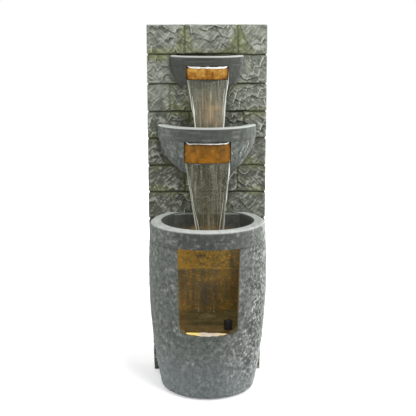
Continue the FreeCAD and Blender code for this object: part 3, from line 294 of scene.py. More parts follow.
def make_piece(name, points, quads, finish, marks, sharp=40):
    """Put points and quads into a mesh that rides on the fountain, with marks as point attributes."""
    mesh = bpy.data.meshes.new(name)
    mesh.from_pydata(points.reshape(-1, 3).tolist(), [], quads.reshape(-1, 4).tolist())
    for label, values in marks.items():
        layer = mesh.attributes.new(label, "FLOAT", "POINT")
        layer.data.foreach_set("value", np.ascontiguousarray(values, dtype=np.float32).ravel())
    close_seams(mesh)
    mesh.polygons.foreach_set("use_smooth", np.ones(len(mesh.polygons), dtype=bool))
    mesh.set_sharp_from_angle(angle=math.radians(sharp))
    mesh.materials.append(finish.material)
    piece = put(name, mesh)
    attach(piece, "fountain")
    print(f"{name}: {sum(len(face.vertices) - 2 for face in mesh.polygons)} triangles")
    return piece


# %% [markdown]
# ## Random relief that repeats exactly
# Stone needs noise at several sizes. Blender has noise textures for finishes, but relief in the mesh needs
# numbers per point, so two small fields are worked out here: a soft one that rises and falls,
# and one of round pits. Each takes a seed, so the fountain comes out the same every time.

# %% Noise fields
NOISE_NET = (101, 103)
PIT_NET = (89, 97)


def ease(value, low, high):
    """Smooth step from 0 at low to 1 at high."""
    t = np.clip((value - low) / (high - low), 0, 1)
    return t * t * (3 - 2 * t)


def largest(*fields):
    """The largest of several fields at each point."""
    return np.maximum.reduce(np.broadcast_arrays(*fields))


def cells(a, b, cell):
    """Each point's cell in a square net, and its place in that cell."""
    u, v = a / cell, b / cell
    i, j = np.floor(u).astype(int), np.floor(v).astype(int)
    return i, j, u - i, v - j


def soft_noise(a, b, cell, seed):
    """Field from -1 to 1: random heights at the corners of square cells, blended with an eased weight."""
    rows, columns = NOISE_NET
    heights = np.random.default_rng(seed).uniform(-1, 1, NOISE_NET)
    i, j, s, t = cells(a, b, cell)
    s, t = s * s * (3 - 2 * s), t * t * (3 - 2 * t)
    near, far = i % rows, (i + 1) % rows
    low, high = (heights[near, k] * (1 - s) + heights[far, k] * s for k in (j % columns, (j + 1) % columns))
    return low * (1 - t) + high * t


def rough_noise(a, b, cell, seed, layers=3):
    """Soft noise added to itself at half the cell and half the height, layer by layer."""
    return sum(soft_noise(a, b, cell / 2 ** k, seed + 7 * k) / 2 ** k for k in range(layers))


def pitting(a, b, cell, seed, share):
    """Round pits from 0 to 1: a share of the cells hold one, of random place and size; the deepest counts."""
    rows, columns = PIT_NET
    spots = np.random.default_rng(seed).uniform(0, 1, (rows, columns, 4))
    i, j, s, t = cells(a, b, cell)
    pits = []
    for across in (-1, 0, 1):
        for up in (-1, 0, 1):
            spot = spots[(i + across) % rows, (j + up) % columns]
            reach = 0.3 + 0.5 * spot[..., 2]
            far = (across + spot[..., 0] - s) ** 2 + (up + spot[..., 1] - t) ** 2
            pits.append(np.clip(1 - far / reach ** 2, 0, 1) * (spot[..., 3] < share))
    return largest(*pits)


print("noise from", round(float(rough_noise(np.arange(9.0), np.arange(9.0), 2.5, 1).min()), 2))

# %% [markdown]
# ## Node groups for the finishes
# Weathering, pale flecks and running streaks turn up on more than one material, so each is built once as a
# node group with named sockets and placed with its own values. A group only hands on colours and values;
# the shader itself stays in the material, where it is easy to find and to bake.

# %% Weathering, flecks and streaks
def start_group(name, inputs, outputs):
    """An empty shader group with named sockets, a vector first, and its inputs and outputs."""
    group = bpy.data.node_groups.new(name, "ShaderNodeTree")
    for way, sockets in (("INPUT", {"Vector": "Vector", **inputs}), ("OUTPUT", outputs)):
        for label, kind in sockets.items():
            group.interface.new_socket(label, in_out=way, socket_type="NodeSocket" + kind)
    return group, group.nodes.new("NodeGroupInput").outputs, group.nodes.new("NodeGroupOutput").inputs


weathering, given, result = start_group(
    "weathering", {"Dark": "Color", "Light": "Color", "Patch": "Float", "Grain": "Float"},
    {"Colour": "Color", "Height": "Float"})
vector = given["Vector"]
patch = add_node(weathering, "TexNoise", vector=vector, scale=given["Patch"], detail=6.0, roughness=0.6)
grain = add_node(weathering, "TexNoise", vector=vector, scale=given["Grain"], detail=4.0, roughness=0.65)
both = maths(weathering, "ADD", maths(weathering, "MULTIPLY", patch.outputs[0], 0.6),
             maths(weathering, "MULTIPLY", grain.outputs[0], 0.4))
shade = ramp(weathering, both, 0.34, 0.66)
feed(weathering, result["Colour"], blend_colour(weathering, shade, given["Dark"], given["Light"]))
feed(weathering, result["Height"], grain.outputs[0])

flecks, given, result = start_group("flecks", {"Size": "Float", "Amount": "Float"}, {"Mask": "Float"})
crumbs = add_node(flecks, "TexNoise", vector=given["Vector"], scale=given["Size"], detail=3.0, roughness=0.7)
proud = ramp(flecks, crumbs.outputs[0], 0.52, 0.68)
feed(flecks, result["Mask"], maths(flecks, "MULTIPLY", proud, given["Amount"]))

streaks, given, result = start_group("streaks", {"Across": "Float", "Down": "Float"}, {"Mask": "Float"})
stretch = add_node(streaks, "CombineXYZ", x=given["Across"], y=given["Across"], z=given["Down"])
drawn = add_node(streaks, "VectorMath", operation="MULTIPLY", vector=given["Vector"])
feed(streaks, drawn.inputs[1], stretch.outputs[0])
runs = add_node(streaks, "TexNoise", vector=drawn.outputs[0], scale=1.0, detail=3.0, roughness=0.6)
feed(streaks, result["Mask"], ramp(streaks, runs.outputs[0], 0.4, 0.7))
print("groups:", ", ".join(group.name for group in bpy.data.node_groups))

# %% [markdown]
# ## Rock-faced blocks
# The board looks like split stone laid in thirteen courses with mossy joints. On the real fountain this is
# one moulded shell, painted grey-green and brushed with a pale colour that catches on every ridge.
# Sculpting it by hand would not repeat, and a bump map alone would leave the outline straight.
# So the height of the face is worked out: blocks with rounded edges, ledges along jagged lines on each block,
# chisel strokes and finer noise. The crests tell the finish where the pale brush caught, and the joints tell
# it where moss and dirt gather. Shade is painted into the colour too: under the ledges, behind the upper
# rim, along the bowls' outlines, and over the lower wall.

# %% Sizes of the board
board_low, board_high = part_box("stone_face")
BACK = board_high.y
SEAT = board_low.y
BLOCK_STAND = 0.010
MORTAR = SEAT + BLOCK_STAND
BOARD_TOP = board_high.z
BOARD_FOOT = board_low.z
HALF_TOP = board_high.x
HALF_FOOT = 0.155
COURSES = 13
TALL_COURSES = 2
TALL_COURSE = 0.0805
TAPERED_COURSES = 6
COURSE = (BOARD_TOP - TALL_COURSES * TALL_COURSE) / (COURSES - TALL_COURSES)
BEDS = np.append(np.arange(COURSES - TALL_COURSES) * COURSE,
                 BOARD_TOP - np.arange(TALL_COURSES, -1, -1) * TALL_COURSE)
JOINT = 0.005
SIDE_STAND = 0.003
RETURN_DEPTH = 0.032
OFF_BOARD = 9.0
BONDS = {
    "a": (-0.062, 0.085, OFF_BOARD),
    "b": (-0.020, 0.062, OFF_BOARD),
    "c": (-0.104, -0.046, 0.058),
    "d": (-0.050, 0.101, OFF_BOARD),
}
BOND_ORDER = "abcdbacdbacdb"
UPRIGHTS = np.array([BONDS[letter] for letter in reversed(BOND_ORDER)])


def half_width(z):
    """Half the board's width: it draws in below the tapered courses."""
    return HALF_FOOT + (HALF_TOP - HALF_FOOT) * np.clip(z / (COURSE * TAPERED_COURSES), 0, 1)


print("board", round(2 * HALF_TOP, 3), "wide and", round(BOARD_TOP, 3), "tall in", COURSES, "courses")

# %% Character of each stone, moss, and where the bowls hang
STONES_PER_COURSE = 4
STONE_COUNT = COURSES * STONES_PER_COURSE
rock_random = np.random.default_rng(43)
stone_tilt = rock_random.normal(0, 0.28, STONE_COUNT)
stone_shift = rock_random.uniform(0, 1, STONE_COUNT)
stone_lean = rock_random.choice([-1.0, 1.0], STONE_COUNT)
stone_swell = rock_random.uniform(-0.0015, 0.0010, STONE_COUNT)
# Each stone's own random tone, later added to the painted shade of the lower wall
stone_tone = np.random.default_rng(46859).normal(0, 0.13, STONE_COUNT)
MOSS_X = np.array([0.135, -0.075, 0.085, -0.060, 0.100, 0.125])
MOSS_Z = np.array([0.655, 0.845, 0.838, 0.955, 0.955, 0.575])
MOSS_REACH = 0.035
UPPER_RIM = 0.918
MIDDLE_RIM = 0.727
BEHIND_RIM = UPPER_RIM - 0.0015
BOWL_OUTLINES = ((UPPER_RIM, 0.101, 0.085, 3.0), (MIDDLE_RIM, 0.137, 0.157, 2.0))
print(STONE_COUNT, "stones at most, moss in", len(MOSS_X), "places")


# %% Ledges and shade
def rounded_edge(distance, reach):
    """A quarter-round rise from 0 at the edge to 1 at the reach."""
    t = 1 - np.clip(distance / reach, 0, 1)
    return np.sqrt(1 - t * t)


def ledges(x, z, slope, spacing, shift, seed):
    """Ledges along jagged lines: proud just above a line, falling back up to the next, and only in patches.

    Gives the height from 0 to 1, the crest above each line and the shadow under it.
    """
    waver = 0.45 * soft_noise(x, z, 0.050, seed) + 0.12 * soft_noise(x, z, 0.016, seed + 1)
    climb = (z + slope * x) / spacing + waver + 0.06 * soft_noise(x, z, 0.007, seed + 2) + shift
    jag = (x + 0.4 * z) / 0.043 + 0.6 * soft_noise(x, z, 0.05, seed + 4)
    climb = climb + 0.95 * np.abs(jag - np.floor(jag) - 0.5)
    part = climb - np.floor(climb)
    patch = ease(soft_noise(x, z, 0.045, seed + 3), -0.35, 0.30)
    height = (1 - part) ** 1.2 * ease(part, 0.0, 0.07) * patch
    crest = ease(part, 0.0, 0.04) * (1 - ease(part, 0.05, 0.22)) * patch
    return height, crest, ease(part, 0.82, 0.96) * patch


def beside_bowls(x, z):
    """Painted shade on the wall along each bowl's outline, a round form that hangs from the rim's height.

    It fades within some millimetres of the outline and just above the rim, and is stronger on the left.
    """
    shade = 0 * x
    for rim, half, drop, power in BOWL_OUTLINES:
        low = np.clip((rim - z) / drop, 0, None)
        reach = ((np.abs(x) / half) ** power + low ** power) ** (1 / power)
        away = np.hypot((reach - 1) * half / 0.0075, np.clip(z - rim, 0, None) / 0.005)
        shade = np.maximum(shade, np.exp(-away ** 2))
    # The painted shade is stronger on the left, away from the main lamp
    return shade * (0.52 - 0.20 * np.sign(x))


# %% Height of the rock face
def rock_face(x, z, from_outline):
    """Height of the blocks above the mortar, and marks for the finish.

    Distance to the nearest joint or to the outline gives each block its rounded edge. Two families of ledges,
    one nearly level and one slanting, and short chisel strokes make the face of the block.
    """
    across = x + 0.0013 * rough_noise(x, z, 0.022, 11, 2)
    up = z + 0.0014 * rough_noise(x, z, 0.026, 12, 2)
    course = np.clip(np.searchsorted(BEDS, up, side="right") - 1, 0, COURSES - 1)
    from_bed = np.minimum(np.where(course == 0, 1.0, up - BEDS[course]),
                          np.where(course == COURSES - 1, 1.0, BEDS[course + 1] - up)) - 0.0016
    offsets = across[..., None] - UPRIGHTS[course]
    from_upright = np.abs(offsets).min(axis=-1) - JOINT / 2
    stone = course * STONES_PER_COURSE + (offsets > 0).sum(axis=-1)
    lean = stone_lean[stone]
    level, level_crest, level_shadow = ledges(x, z, stone_tilt[stone], 0.031, stone_shift[stone], 21)
    slant, slant_crest, slant_shadow = ledges(x, z, 0.95 * lean, 0.043, 1 - stone_shift[stone], 121)
    steep = soft_noise(0.25 * (0.75 * x + 0.66 * lean * z), 0.75 * z - 0.66 * lean * x, 0.0030, 31)
    flat = soft_noise(0.3 * (0.95 * x - 0.3 * lean * z), 0.95 * z + 0.3 * lean * x, 0.0038, 35)
    strokes = steep + 0.6 * flat
    body = 0.0040 + stone_swell[stone] + 0.0050 * level + 0.0032 * slant
    body = body + 0.0008 * strokes + 0.0009 * rough_noise(x, z, 0.010, 32, 2)
    body = np.clip(body, 0.0025, 0.0125)
    bed_rise = 0.15 + 0.85 * rounded_edge(from_bed, 0.0040)
    upright_rise = 0.40 + 0.60 * rounded_edge(from_upright + 0.0012, 0.006)
    rise = np.minimum(np.minimum(bed_rise, upright_rise), rounded_edge(from_outline, 0.007))
    height = rise * body + (1 - rise) * 0.0004 * rough_noise(x, z, 0.006, 33, 2)
    crest = largest(level_crest, 0.9 * slant_crest, 0.55 * ease(strokes, 0.15, 0.9))
    shadow = np.maximum(0.7 * np.maximum(level_shadow, 0.8 * slant_shadow), 0.45 * ease(-strokes, 0.15, 0.9))
    bed = 1 - ease(from_bed, -0.0010, 0.0012)
    upright = 0.30 * (1 - ease(from_upright, -0.001, 0.0016))
    from_moss = (x[..., None] - MOSS_X) ** 2 + (z[..., None] - MOSS_Z) ** 2
    spots = np.exp(-from_moss / MOSS_REACH ** 2).max(axis=-1)
    from_joint = np.minimum(from_upright, from_bed + 0.004) / 0.022
    moss = ease(0.8 * rough_noise(x, z, 0.07, 51, 3) + 0.9 + 0.8 * spots - from_joint, 0.30, 1.2)
    side = np.sign(x) * ease(np.abs(x), 0.0, 0.1)
    # Painted shade: darker towards the bottom and a little more on the left; each stone adds its own tone
    low_shade_and_tone = (1 - ease(z, 0.68, 0.90)) * (0.84 - 0.05 * side) + stone_tone[stone]
    # Painted shade: a dark band on the wall just behind the upper bowl's rim
    behind_rim = np.exp(-((z - BEHIND_RIM) / 0.004) ** 2) * (1 - ease(np.abs(x), 0.085, 0.100))
    # Dark joints, with painted shade under the ledges, behind the upper rim and beside the bowls
    joint_and_shade = largest(bed, upright, shadow, behind_rim, beside_bowls(x, z))
    marks = {"joint_and_shade": joint_and_shade, "moss": moss, "ridge": crest * ease(from_bed, 0.001, 0.005),
             "low_shade_and_tone": np.clip(low_shade_and_tone, 0, 1)}
    return height, marks, from_bed


# %% Rock finish
rock = Finish("rock", 0.9)
stone = rock.group(weathering, dark=(0.135, 0.15, 0.12), light=(0.33, 0.345, 0.285), patch=26.0, grain=110.0)
crumbs = rock.group(flecks, size=170.0, amount=0.9)
brushed = rock.maths("MULTIPLY", rock.mark("ridge"), rock.maths("ADD", crumbs["Mask"], 0.6), True)
# Moss, then the painted shade of the lower wall together with each stone's tone
mossy_and_shaded = rock.tint(stone["Colour"], ("moss", 0.56, (0.15, 0.165, 0.068)), ("low_shade_and_tone", 0.72, (0.042, 0.043, 0.028)))
pale = rock.mix(brushed, mossy_and_shaded, (0.61, 0.63, 0.56))
# Dark joints, and painted shade under the ledges, behind the upper rim and beside the bowls
dark = rock.tint(pale, ("moss", 0.31, (0.25, 0.28, 0.095)), ("joint_and_shade", 0.90, (0.026, 0.028, 0.020)))
rock.set(base_color=dark)
rock.bump(stone["Height"], 0.7, 0.002)
print("rock finish:", len(rock.tree.nodes), "nodes")


# %% Board skin
def course_rows(first, last, each):
    """Heights from one course's foot to another's, closer together near the joints."""
    t = np.linspace(0, 1, each, endpoint=False)
    t = t - 0.4 * np.sin(2 * np.pi * t) / (2 * np.pi)
    rows = [BEDS[course] + t * (BEDS[course + 1] - BEDS[course]) for course in range(first, last)]
    return np.maximum(np.append(np.concatenate(rows), BEDS[last]), BOARD_FOOT)


def board_skin(name, rows, front_columns, side_columns, cap_top):
    """Front and both sides as one grid: the sides run back from the front's outer columns to the back plane.

    The rock goes round the corner: on a side its field is read at the half width plus the way back, and its
    height is taken at the side's smaller stand. A cap closes the top edge, or the foot, in the same way.
    """
    t = np.linspace(-1, 1, front_columns)[None, :]
    z = rows[:, None] + 0 * t
    half = half_width(z)
    below_top = BOARD_TOP - z + SIDE_STAND
    from_side = half - np.abs(t) * half + SIDE_STAND
    height, layers, from_bed = rock_face(t * half, z, np.minimum(from_side, below_top))
    bulge = rounded_edge(np.minimum(from_bed, below_top), 0.005)
    x = t * (half - SIDE_STAND * (1 - bulge) * ease(np.abs(t), 0.93, 1))
    layers["points"] = stack(x, MORTAR - height, z)
    q = np.linspace(0, 1, side_columns + 1)[1:]
    for side, column in ((-1, 0), (1, -1)):
        corner = layers["points"][:, column][:, None]
        y = corner[..., 1] + (BACK - corner[..., 1]) * q
        z = corner[..., 2] + 0 * y
        half = half_width(z)
        height, marks, _ = rock_face(side * (half + y - SEAT), z, BOARD_TOP - z + SIDE_STAND)
        covered = 1 - ease(y - MORTAR, RETURN_DEPTH - 0.002, RETURN_DEPTH + 0.001)
        stand = np.minimum(SIDE_STAND * height / BLOCK_STAND, 1.15 * SIDE_STAND) * covered
        marks["points"] = stack(side * (half - SIDE_STAND + stand), y, z)
        for label, values in marks.items():
            parts = (layers[label], values) if side > 0 else (values[:, ::-1], layers[label])
            layers[label] = np.concatenate(parts, axis=1)
    edge = layers["points"][-1 if cap_top else 0][None]
    cap = edge + (0, 1, 0) * (BACK - edge[..., 1:2]) * np.linspace(0, 1, 25)[1:, None, None]
    past_edge = (cap - edge)[..., 1]
    height, marks, _ = rock_face(cap[..., 0], edge[..., 2] + past_edge, 0.01 + past_edge)
    if cap_top:
        cap[..., 2] += 0.15 * (height - height.mean()) * ease(past_edge, 0.0, 0.01)
    marks["points"] = cap
    for label, values in marks.items():
        layers[label] = np.concatenate([layers[label], values] if cap_top else [values[::-1], layers[label]])
    points = layers.pop("points")
    return make_piece(name, points, grid_quads(*points.shape[:2]), rock, layers, 50)


upper_skin = board_skin("rock_blocks_upper", course_rows(TAPERED_COURSES, COURSES, 46), 197, 18, True)
lower_skin = board_skin("rock_blocks_lower", course_rows(0, TAPERED_COURSES, 30), 111, 14, False)
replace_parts(upper_skin, "stone_face")
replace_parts(lower_skin, "stone_face")

# %% [markdown]
# ## The board's hollow back
# Behind the blocks the shell is hollow, closed by the back panel. Its rim, its inner sides and the back of
# the face show when the service door is open. A cube could be cut out, but four outlines joined like the
# rings of a tray follow the board's taper: the rim outside, the rim inside, the same one at the bottom of the
# tray, and a line up its middle.

# %% A plain weathered finish
def weathered(name, roughness, dark, light, patch, grain, bump, distance, metallic=0.0):
    """Two close shades mixed by patches and grain; the grain also gives the bump."""
    finish = Finish(name, roughness, metallic=metallic)
    shell = finish.group(weathering, dark=dark, light=light, patch=patch, grain=grain)
    finish.set(base_color=shell["Colour"])
    finish.bump(shell["Height"], bump, distance)
    return finish


# %% Board tray
PLATE_BACK = MORTAR + 0.008
TRAY_WALL = 0.008
TRAY_END = 0.010
shell_back = weathered("shell_back", 0.85, (0.12, 0.125, 0.115), (0.20, 0.205, 0.19), 9.0, 160.0, 0.4, 0.001)


def tray_ring(y, inset, end_inset, shrink=1.0):
    """Outline of the board at one depth: up the left side and down the right, drawn in by an inset."""
    z = np.linspace(BOARD_FOOT + end_inset, BOARD_TOP - SIDE_STAND - end_inset, 40)
    x = (half_width(z) - SIDE_STAND - inset) * shrink
    return np.concatenate([stack(-x, y, z), stack(x, y, z)[::-1]])


tray = np.stack([tray_ring(BACK, 0.0, 0.0), tray_ring(BACK, TRAY_WALL, TRAY_END),
                 tray_ring(PLATE_BACK, TRAY_WALL, TRAY_END), tray_ring(PLATE_BACK, TRAY_WALL, TRAY_END, 0.0)])
tray_quads = grid_quads(*tray.shape[:2], around=True)
board_tray = make_piece("board_tray", tray, tray_quads, shell_back, {})
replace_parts(board_tray, "stone_face")

# %% [markdown]
# ## Bowls and basin
# The three tiers are pots turned about an upright axis and cut off flat where they meet the board.
# A Screw modifier could turn the outline, but a grid lets the columns line up with the slot in front:
# between the jambs the columns are evenly spaced in width, and beyond them evenly spaced in angle.
# The rows run along one closed outline, from the foot up the outside, over the rim and down the inside,
# so a hole is just quads left out and four strips that join the outer rows to the inner ones.

# %% Cast stone finish
cast = Finish("cast_stone", 0.86, emission_strength=1.0)
grit = cast.group(weathering, dark=(0.055, 0.064, 0.055), light=(0.167, 0.185, 0.165),
                  patch=75.0, grain=160.0)
crumbs = cast.group(flecks, size=200.0, amount=1.0)
# A mark of painted shade darkens the stone; the pale mark holds painted highlights as well as pale paint
pale = cast.tint(grit["Colour"], ("cool", 1.0, (0.135, 0.162, 0.182)), ("deep", 1.0, (0.028, 0.030, 0.024)),
                 ("pale", 1.0, (0.62, 0.655, 0.62)))
brushed = cast.maths("MULTIPLY", cast.mark("brushed"), cast.maths("ADD", crumbs["Mask"], 0.3), True)
brushed = cast.mix(brushed, pale, (0.70, 0.71, 0.67))
# The lamp's light is painted on the inside of the basin: amber in the base colour here, as emission below
lit = cast.tint(brushed, ("pit", 0.85, (0.022, 0.025, 0.022)), ("glow", 1.0, (0.080, 0.056, 0.009)))
mottle = cast.maths("ADD", cast.maths("MULTIPLY", crumbs["Mask"], 0.9), 0.6)
warm = cast.group(weathering, dark=(0.175, 0.130, 0.026), light=(0.350, 0.160, 0.018),
                  patch=45.0, grain=150.0)
glowing = cast.mix(cast.maths("MULTIPLY", cast.mark("glow"), mottle), (0.0, 0.0, 0.0), warm["Colour"])
cast.set(base_color=lit, emission_color=glowing)
cast.bump(grit["Height"], 0.5, 0.0014)
print("cast stone finish:", len(cast.tree.nodes), "nodes")

# %% Columns and corners of a slot
SLOT_SHARE = 0.4
SILL_REACH = 0.09
END_REACH = 0.06


def pot_columns(side, inside):
    """Places of the columns from -1 to 1: the slot's share in the middle, and each side beyond it."""
    return np.concatenate([np.linspace(-1, -SLOT_SHARE, side + 1),
                           np.linspace(-SLOT_SHARE, SLOT_SHARE, inside + 1)[1:],
                           np.linspace(SLOT_SHARE, 1, side + 1)[1:]])[None, :]


def corner_lift(from_mid, half_slot, round_off, above_sill):
    """How far rows near a sill rise at its ends, to round its corners; the rise fades away from them."""
    into = np.clip(from_mid - half_slot + round_off, 0, round_off)
    lift = round_off - np.sqrt(np.clip(round_off ** 2 - into ** 2, 0, None))
    near_sill = np.clip(1 - np.abs(above_sill) / SILL_REACH, 0, 1)
    near_end = np.clip(1 - (from_mid - half_slot) / END_REACH, 0, 1)
    return lift * near_sill * near_end


# %% Quads round a slot
def slot_quads(shape, slot_rows, left, right):
    """The grid's quads without the slot's, and strips round the slot from its outer to its inner rows."""
    quads = grid_quads(*shape)
    number = np.arange(shape[0] * shape[1]).reshape(shape)
    keep = np.ones(quads.shape[:2], dtype=bool)
    outer, inner = slot_rows
    for rows in slot_rows:
        keep[min(rows):max(rows), left:right] = False
    strips = [quads[keep]]
    for near, far in ((outer[0], inner[0]), (inner[-1], outer[-1])):
        near, far = number[near, left:right + 1], number[far, left:right + 1]
        strips.append(stack(near[:-1], near[1:], far[1:], far[:-1]))
    for column, turn in ((left, 1), (right, -1)):
        out, back = number[outer, column], number[inner, column]
        strips.append(stack(out[:-1], back[:-1], back[1:], out[1:])[:, ::turn])
    return np.concatenate(strips)


# %% A turned pot with a slot
POT_CUT = SEAT + 0.007


def pot_piece(name, outline, slot_rows, half_slot, axis_y, counts, relief, round_off=0.0):
    """Turn an outline of (radius, height) rows about an upright axis, up to a plane behind.

    A slot in front takes the outer and inner rows given, and the columns between its jambs; half its width
    is one number, or one for each row. Relief gives how far each point moves along the outline's own normal,
    and marks for the finish.
    """
    side, inside = counts
    c = pot_columns(side, inside)
    r = np.maximum(outline[:, :1], 1e-5)
    z = outline[:, 1:] + 0 * c
    reach = np.arccos(np.clip((axis_y - POT_CUT) / r, -1, 1))
    jamb = np.minimum(np.arcsin(np.clip(half_slot / r, 0, 1)), 0.6 * reach)
    between = np.arcsin(np.sin(jamb) * np.clip(c / SLOT_SHARE, -1, 1))
    beyond = np.sign(c) * (jamb + (reach - jamb) * (np.abs(c) - SLOT_SHARE) / (1 - SLOT_SHARE))
    angle = np.where(np.abs(c) <= SLOT_SHARE, between, beyond)
    if round_off:
        z = z + corner_lift(np.abs(r * np.sin(angle)), half_slot, round_off, z - outline[slot_rows[0][0], 1])
    along = np.gradient(outline, axis=0)
    normal = stack(along[:, 1], -along[:, 0])
    normal /= np.maximum(np.linalg.norm(normal, axis=1, keepdims=True), 1e-9)
    depth, marks = relief(angle, r + 0 * c, z)
    radius = r + depth * normal[:, :1]
    z = z + depth * normal[:, 1:]
    points = stack(radius * np.sin(angle), axis_y - radius * np.cos(angle), z)
    quads = slot_quads(points.shape[:2], slot_rows, side, side + inside)
    return make_piece(name, points, quads, cast, marks, 35)


# %% [markdown]
# ## Half bowls
# The pots are cast in a pale grey mix with pits left by trapped air, and brushed light like the blocks.
# Pits could be pressed in with a sculpting brush, but a field of them repeats. They are in the mesh where
# they are large enough to see, and finer ones are in the bump.
# Marks tell the finish where a pit is, where the pale brush caught, where a highlight is painted, and where
# the stone lies in painted shade.

# %% Sizes of the bowls
RIM_ROUND = 0.005


class BowlSizes:
    """Sizes of one half bowl: rim, axis behind the seat, collar, belly, walls and slot."""

    def __init__(self, rim, radius, axis_back, rim_wall, collar, step, arc, arc_rise, height, wall, floor,
                 slot, drop):
        self.rim, self.radius, self.rim_wall, self.step, self.wall = rim, radius, rim_wall, step, wall
        self.axis_y = SEAT + axis_back
        self.bottom, self.collar, self.sill = rim - height, rim - collar, rim - drop
        self.floor = self.bottom + floor
        self.centre_z = self.collar + arc_rise
        self.centre_r = radius - step - math.sqrt(arc ** 2 - arc_rise ** 2)
        self.arc, self.half_slot = arc, slot / 2

    def belly(self, z, inset=0.0):
        """Radius of the belly at a height: an arc about a centre near the collar."""
        return self.centre_r + np.sqrt((self.arc - inset) ** 2 - (self.centre_z - z) ** 2)

    def inside(self, z):
        """Radius of the inside at a height: the belly less the wall, and no wider than the rim."""
        return np.minimum(self.radius - self.rim_wall, self.belly(z, self.wall))


UPPER = BowlSizes(rim=UPPER_RIM, radius=0.1034, axis_back=0.0234, rim_wall=0.017, collar=0.026, step=0.002,
                  arc=0.0987, arc_rise=0.005, height=0.080, wall=0.010, floor=0.009, slot=0.115, drop=0.064)
MIDDLE = BowlSizes(rim=MIDDLE_RIM, radius=0.1438, axis_back=0.0438, rim_wall=0.023, collar=0.039, step=0.0025,
                   arc=0.167, arc_rise=0.036, height=0.155, wall=0.012, floor=0.010, slot=0.129, drop=0.102)
print("bowls", round(2 * UPPER.radius, 3), "and", round(2 * MIDDLE.radius, 3), "wide")


# %% Relief of a half bowl
def bowl_relief(collar, rim, shade, seed):
    """Relief of a half bowl: a smooth collar with brush lines round it, and a rough pitted body below it."""
    def relief(angle, r, z):
        """Depth and marks at each point."""
        round_it, run = angle * r, z - r
        body = 1 - ease(z, collar - 0.004, collar + 0.001)
        pit = pitting(round_it, run, 0.006, seed, 0.45) * body
        rough = rough_noise(round_it, run, 0.008, seed + 1, 3)
        lines = soft_noise(round_it * 0.12, run, 0.005, seed + 2)
        depth = -0.0009 * pit + 0.0005 * rough * body + 0.0002 * lines * (1 - body)
        brush_lines = 0.16 * ease(lines, 0.2, 1) * (1 - body) * (1 - 0.6 * shade)
        # Pale: the rim's top, brush lines on the collar, and a painted highlight at the right end
        pale = largest(ease(z, rim - 0.0050, rim - 0.0020) * 0.9, brush_lines,
                       0.22 * ease(angle, 1.0, 1.35) * (0.7 + 0.6 * rough))
        scratch = ease(soft_noise(round_it - run, 0.25 * (round_it + run), 0.006, seed + 3), 0.45, 0.9)
        scratch = np.maximum(ease(rough, 0.2, 1.0) * 0.6, scratch * ease(angle, 0.3, 0.8))
        # Painted shade: the whole bowl by its shade, and more on the front of the collar
        deep = np.clip(shade + 0.55 * (1 - body) * (1 - ease(np.abs(angle), 0.5, 1.2)), 0, 0.9)
        return depth, {"pit": pit * 0.6, "pale": pale, "brushed": scratch * body * (1 - shade), "deep": deep}
    return relief


# %% Half bowls
def arc_rows(centre, radius, start, end, count):
    """Points of an arc from one angle to another, in degrees from the outward direction."""
    turn = np.radians(np.linspace(start, end, count))
    return stack(centre[0] + radius * np.cos(turn), centre[1] + radius * np.sin(turn))


def half_bowl(name, node, size, counts, rows_below, rows_slot, shade, seed):
    """Outline of a half bowl from the middle of its foot to the middle of its floor, turned with its slot."""
    slot_z = np.linspace(size.sill, size.collar, rows_slot)
    below_z = np.linspace(size.bottom, size.sill, rows_below)[:-1]
    inner_r = size.radius - size.rim_wall
    inner_low = np.linspace(size.floor, size.sill, rows_below)[:-1]
    parts = [
        np.linspace((0.0, size.bottom), (size.belly(size.bottom) - 0.001, size.bottom), 14),
        stack(size.belly(below_z), below_z),
        stack(size.belly(slot_z), slot_z),
        np.linspace((size.radius, size.collar + size.step), (size.radius, size.rim - RIM_ROUND), 9),
        arc_rows((size.radius - RIM_ROUND, size.rim - RIM_ROUND), RIM_ROUND, 15, 90, 6),
        np.linspace((size.radius - RIM_ROUND - 0.001, size.rim), (inner_r + 0.003, size.rim), 4),
        np.linspace((inner_r, size.rim - 0.003), (inner_r, size.collar + 0.003), 7),
        stack(size.inside(slot_z), slot_z)[::-1],
        stack(size.inside(inner_low), inner_low)[::-1],
        np.linspace((float(size.belly(size.floor, size.wall)) - 0.002, size.floor), (0.0, size.floor), 8),
    ]
    starts = np.cumsum([0] + [len(part) for part in parts])
    outer = np.arange(starts[2], starts[3])
    inner = np.arange(starts[7], starts[8])[::-1]
    bowl = pot_piece(name, np.concatenate(parts), (outer, inner), size.half_slot, size.axis_y, counts,
                     bowl_relief(size.collar, size.rim, shade, seed))
    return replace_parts(bowl, node)


half_bowl("upper_bowl_stone", "upper_bowl", UPPER, (28, 60), 16, 22, 0.90, 101)
half_bowl("middle_bowl_stone", "middle_bowl", MIDDLE, (42, 64), 26, 34, 0.10, 131)

# %% [markdown]
# ## Back walls of the bowls
# Each bowl is closed behind by a low wall against the board, so the water stays in while the blocks show
# above. A cube could be scaled to fit, but a sheet as wide as the bowl is at each height follows its inside,
# and a little roughness makes it stone.

# %% A closed sheet
def sheet_piece(name, front, back, finish, marks, rear=1):
    """A closed sheet between two grids of one shape: front, turned back, and four strips of edge.

    The marks belong to the front. The back has the same ones times the rear share.
    """
    rows, columns = front.shape[:2]
    quads = grid_quads(rows, columns).reshape(-1, 4)
    shift = rows * columns
    number = np.arange(shift).reshape(rows, columns)
    rim = np.concatenate([number[0, :-1], number[:-1, -1], number[-1, :0:-1], number[:0:-1, 0]])
    after = np.roll(rim, -1)
    quads = np.concatenate([quads, quads[:, ::-1] + shift, stack(after, rim, rim + shift, after + shift)])
    full = {label: np.broadcast_to(values, (rows, columns)) for label, values in marks.items()}
    both = {label: np.stack([values, rear * values]) for label, values in full.items()}
    return make_piece(name, np.stack([front, back]), quads, finish, both)


# %% Low back walls
WALL_REAR = SEAT + 0.006
LOW_WALL = 0.009
LOW_WALL_DROP = 0.015
WALL_OVERLAP = 0.004


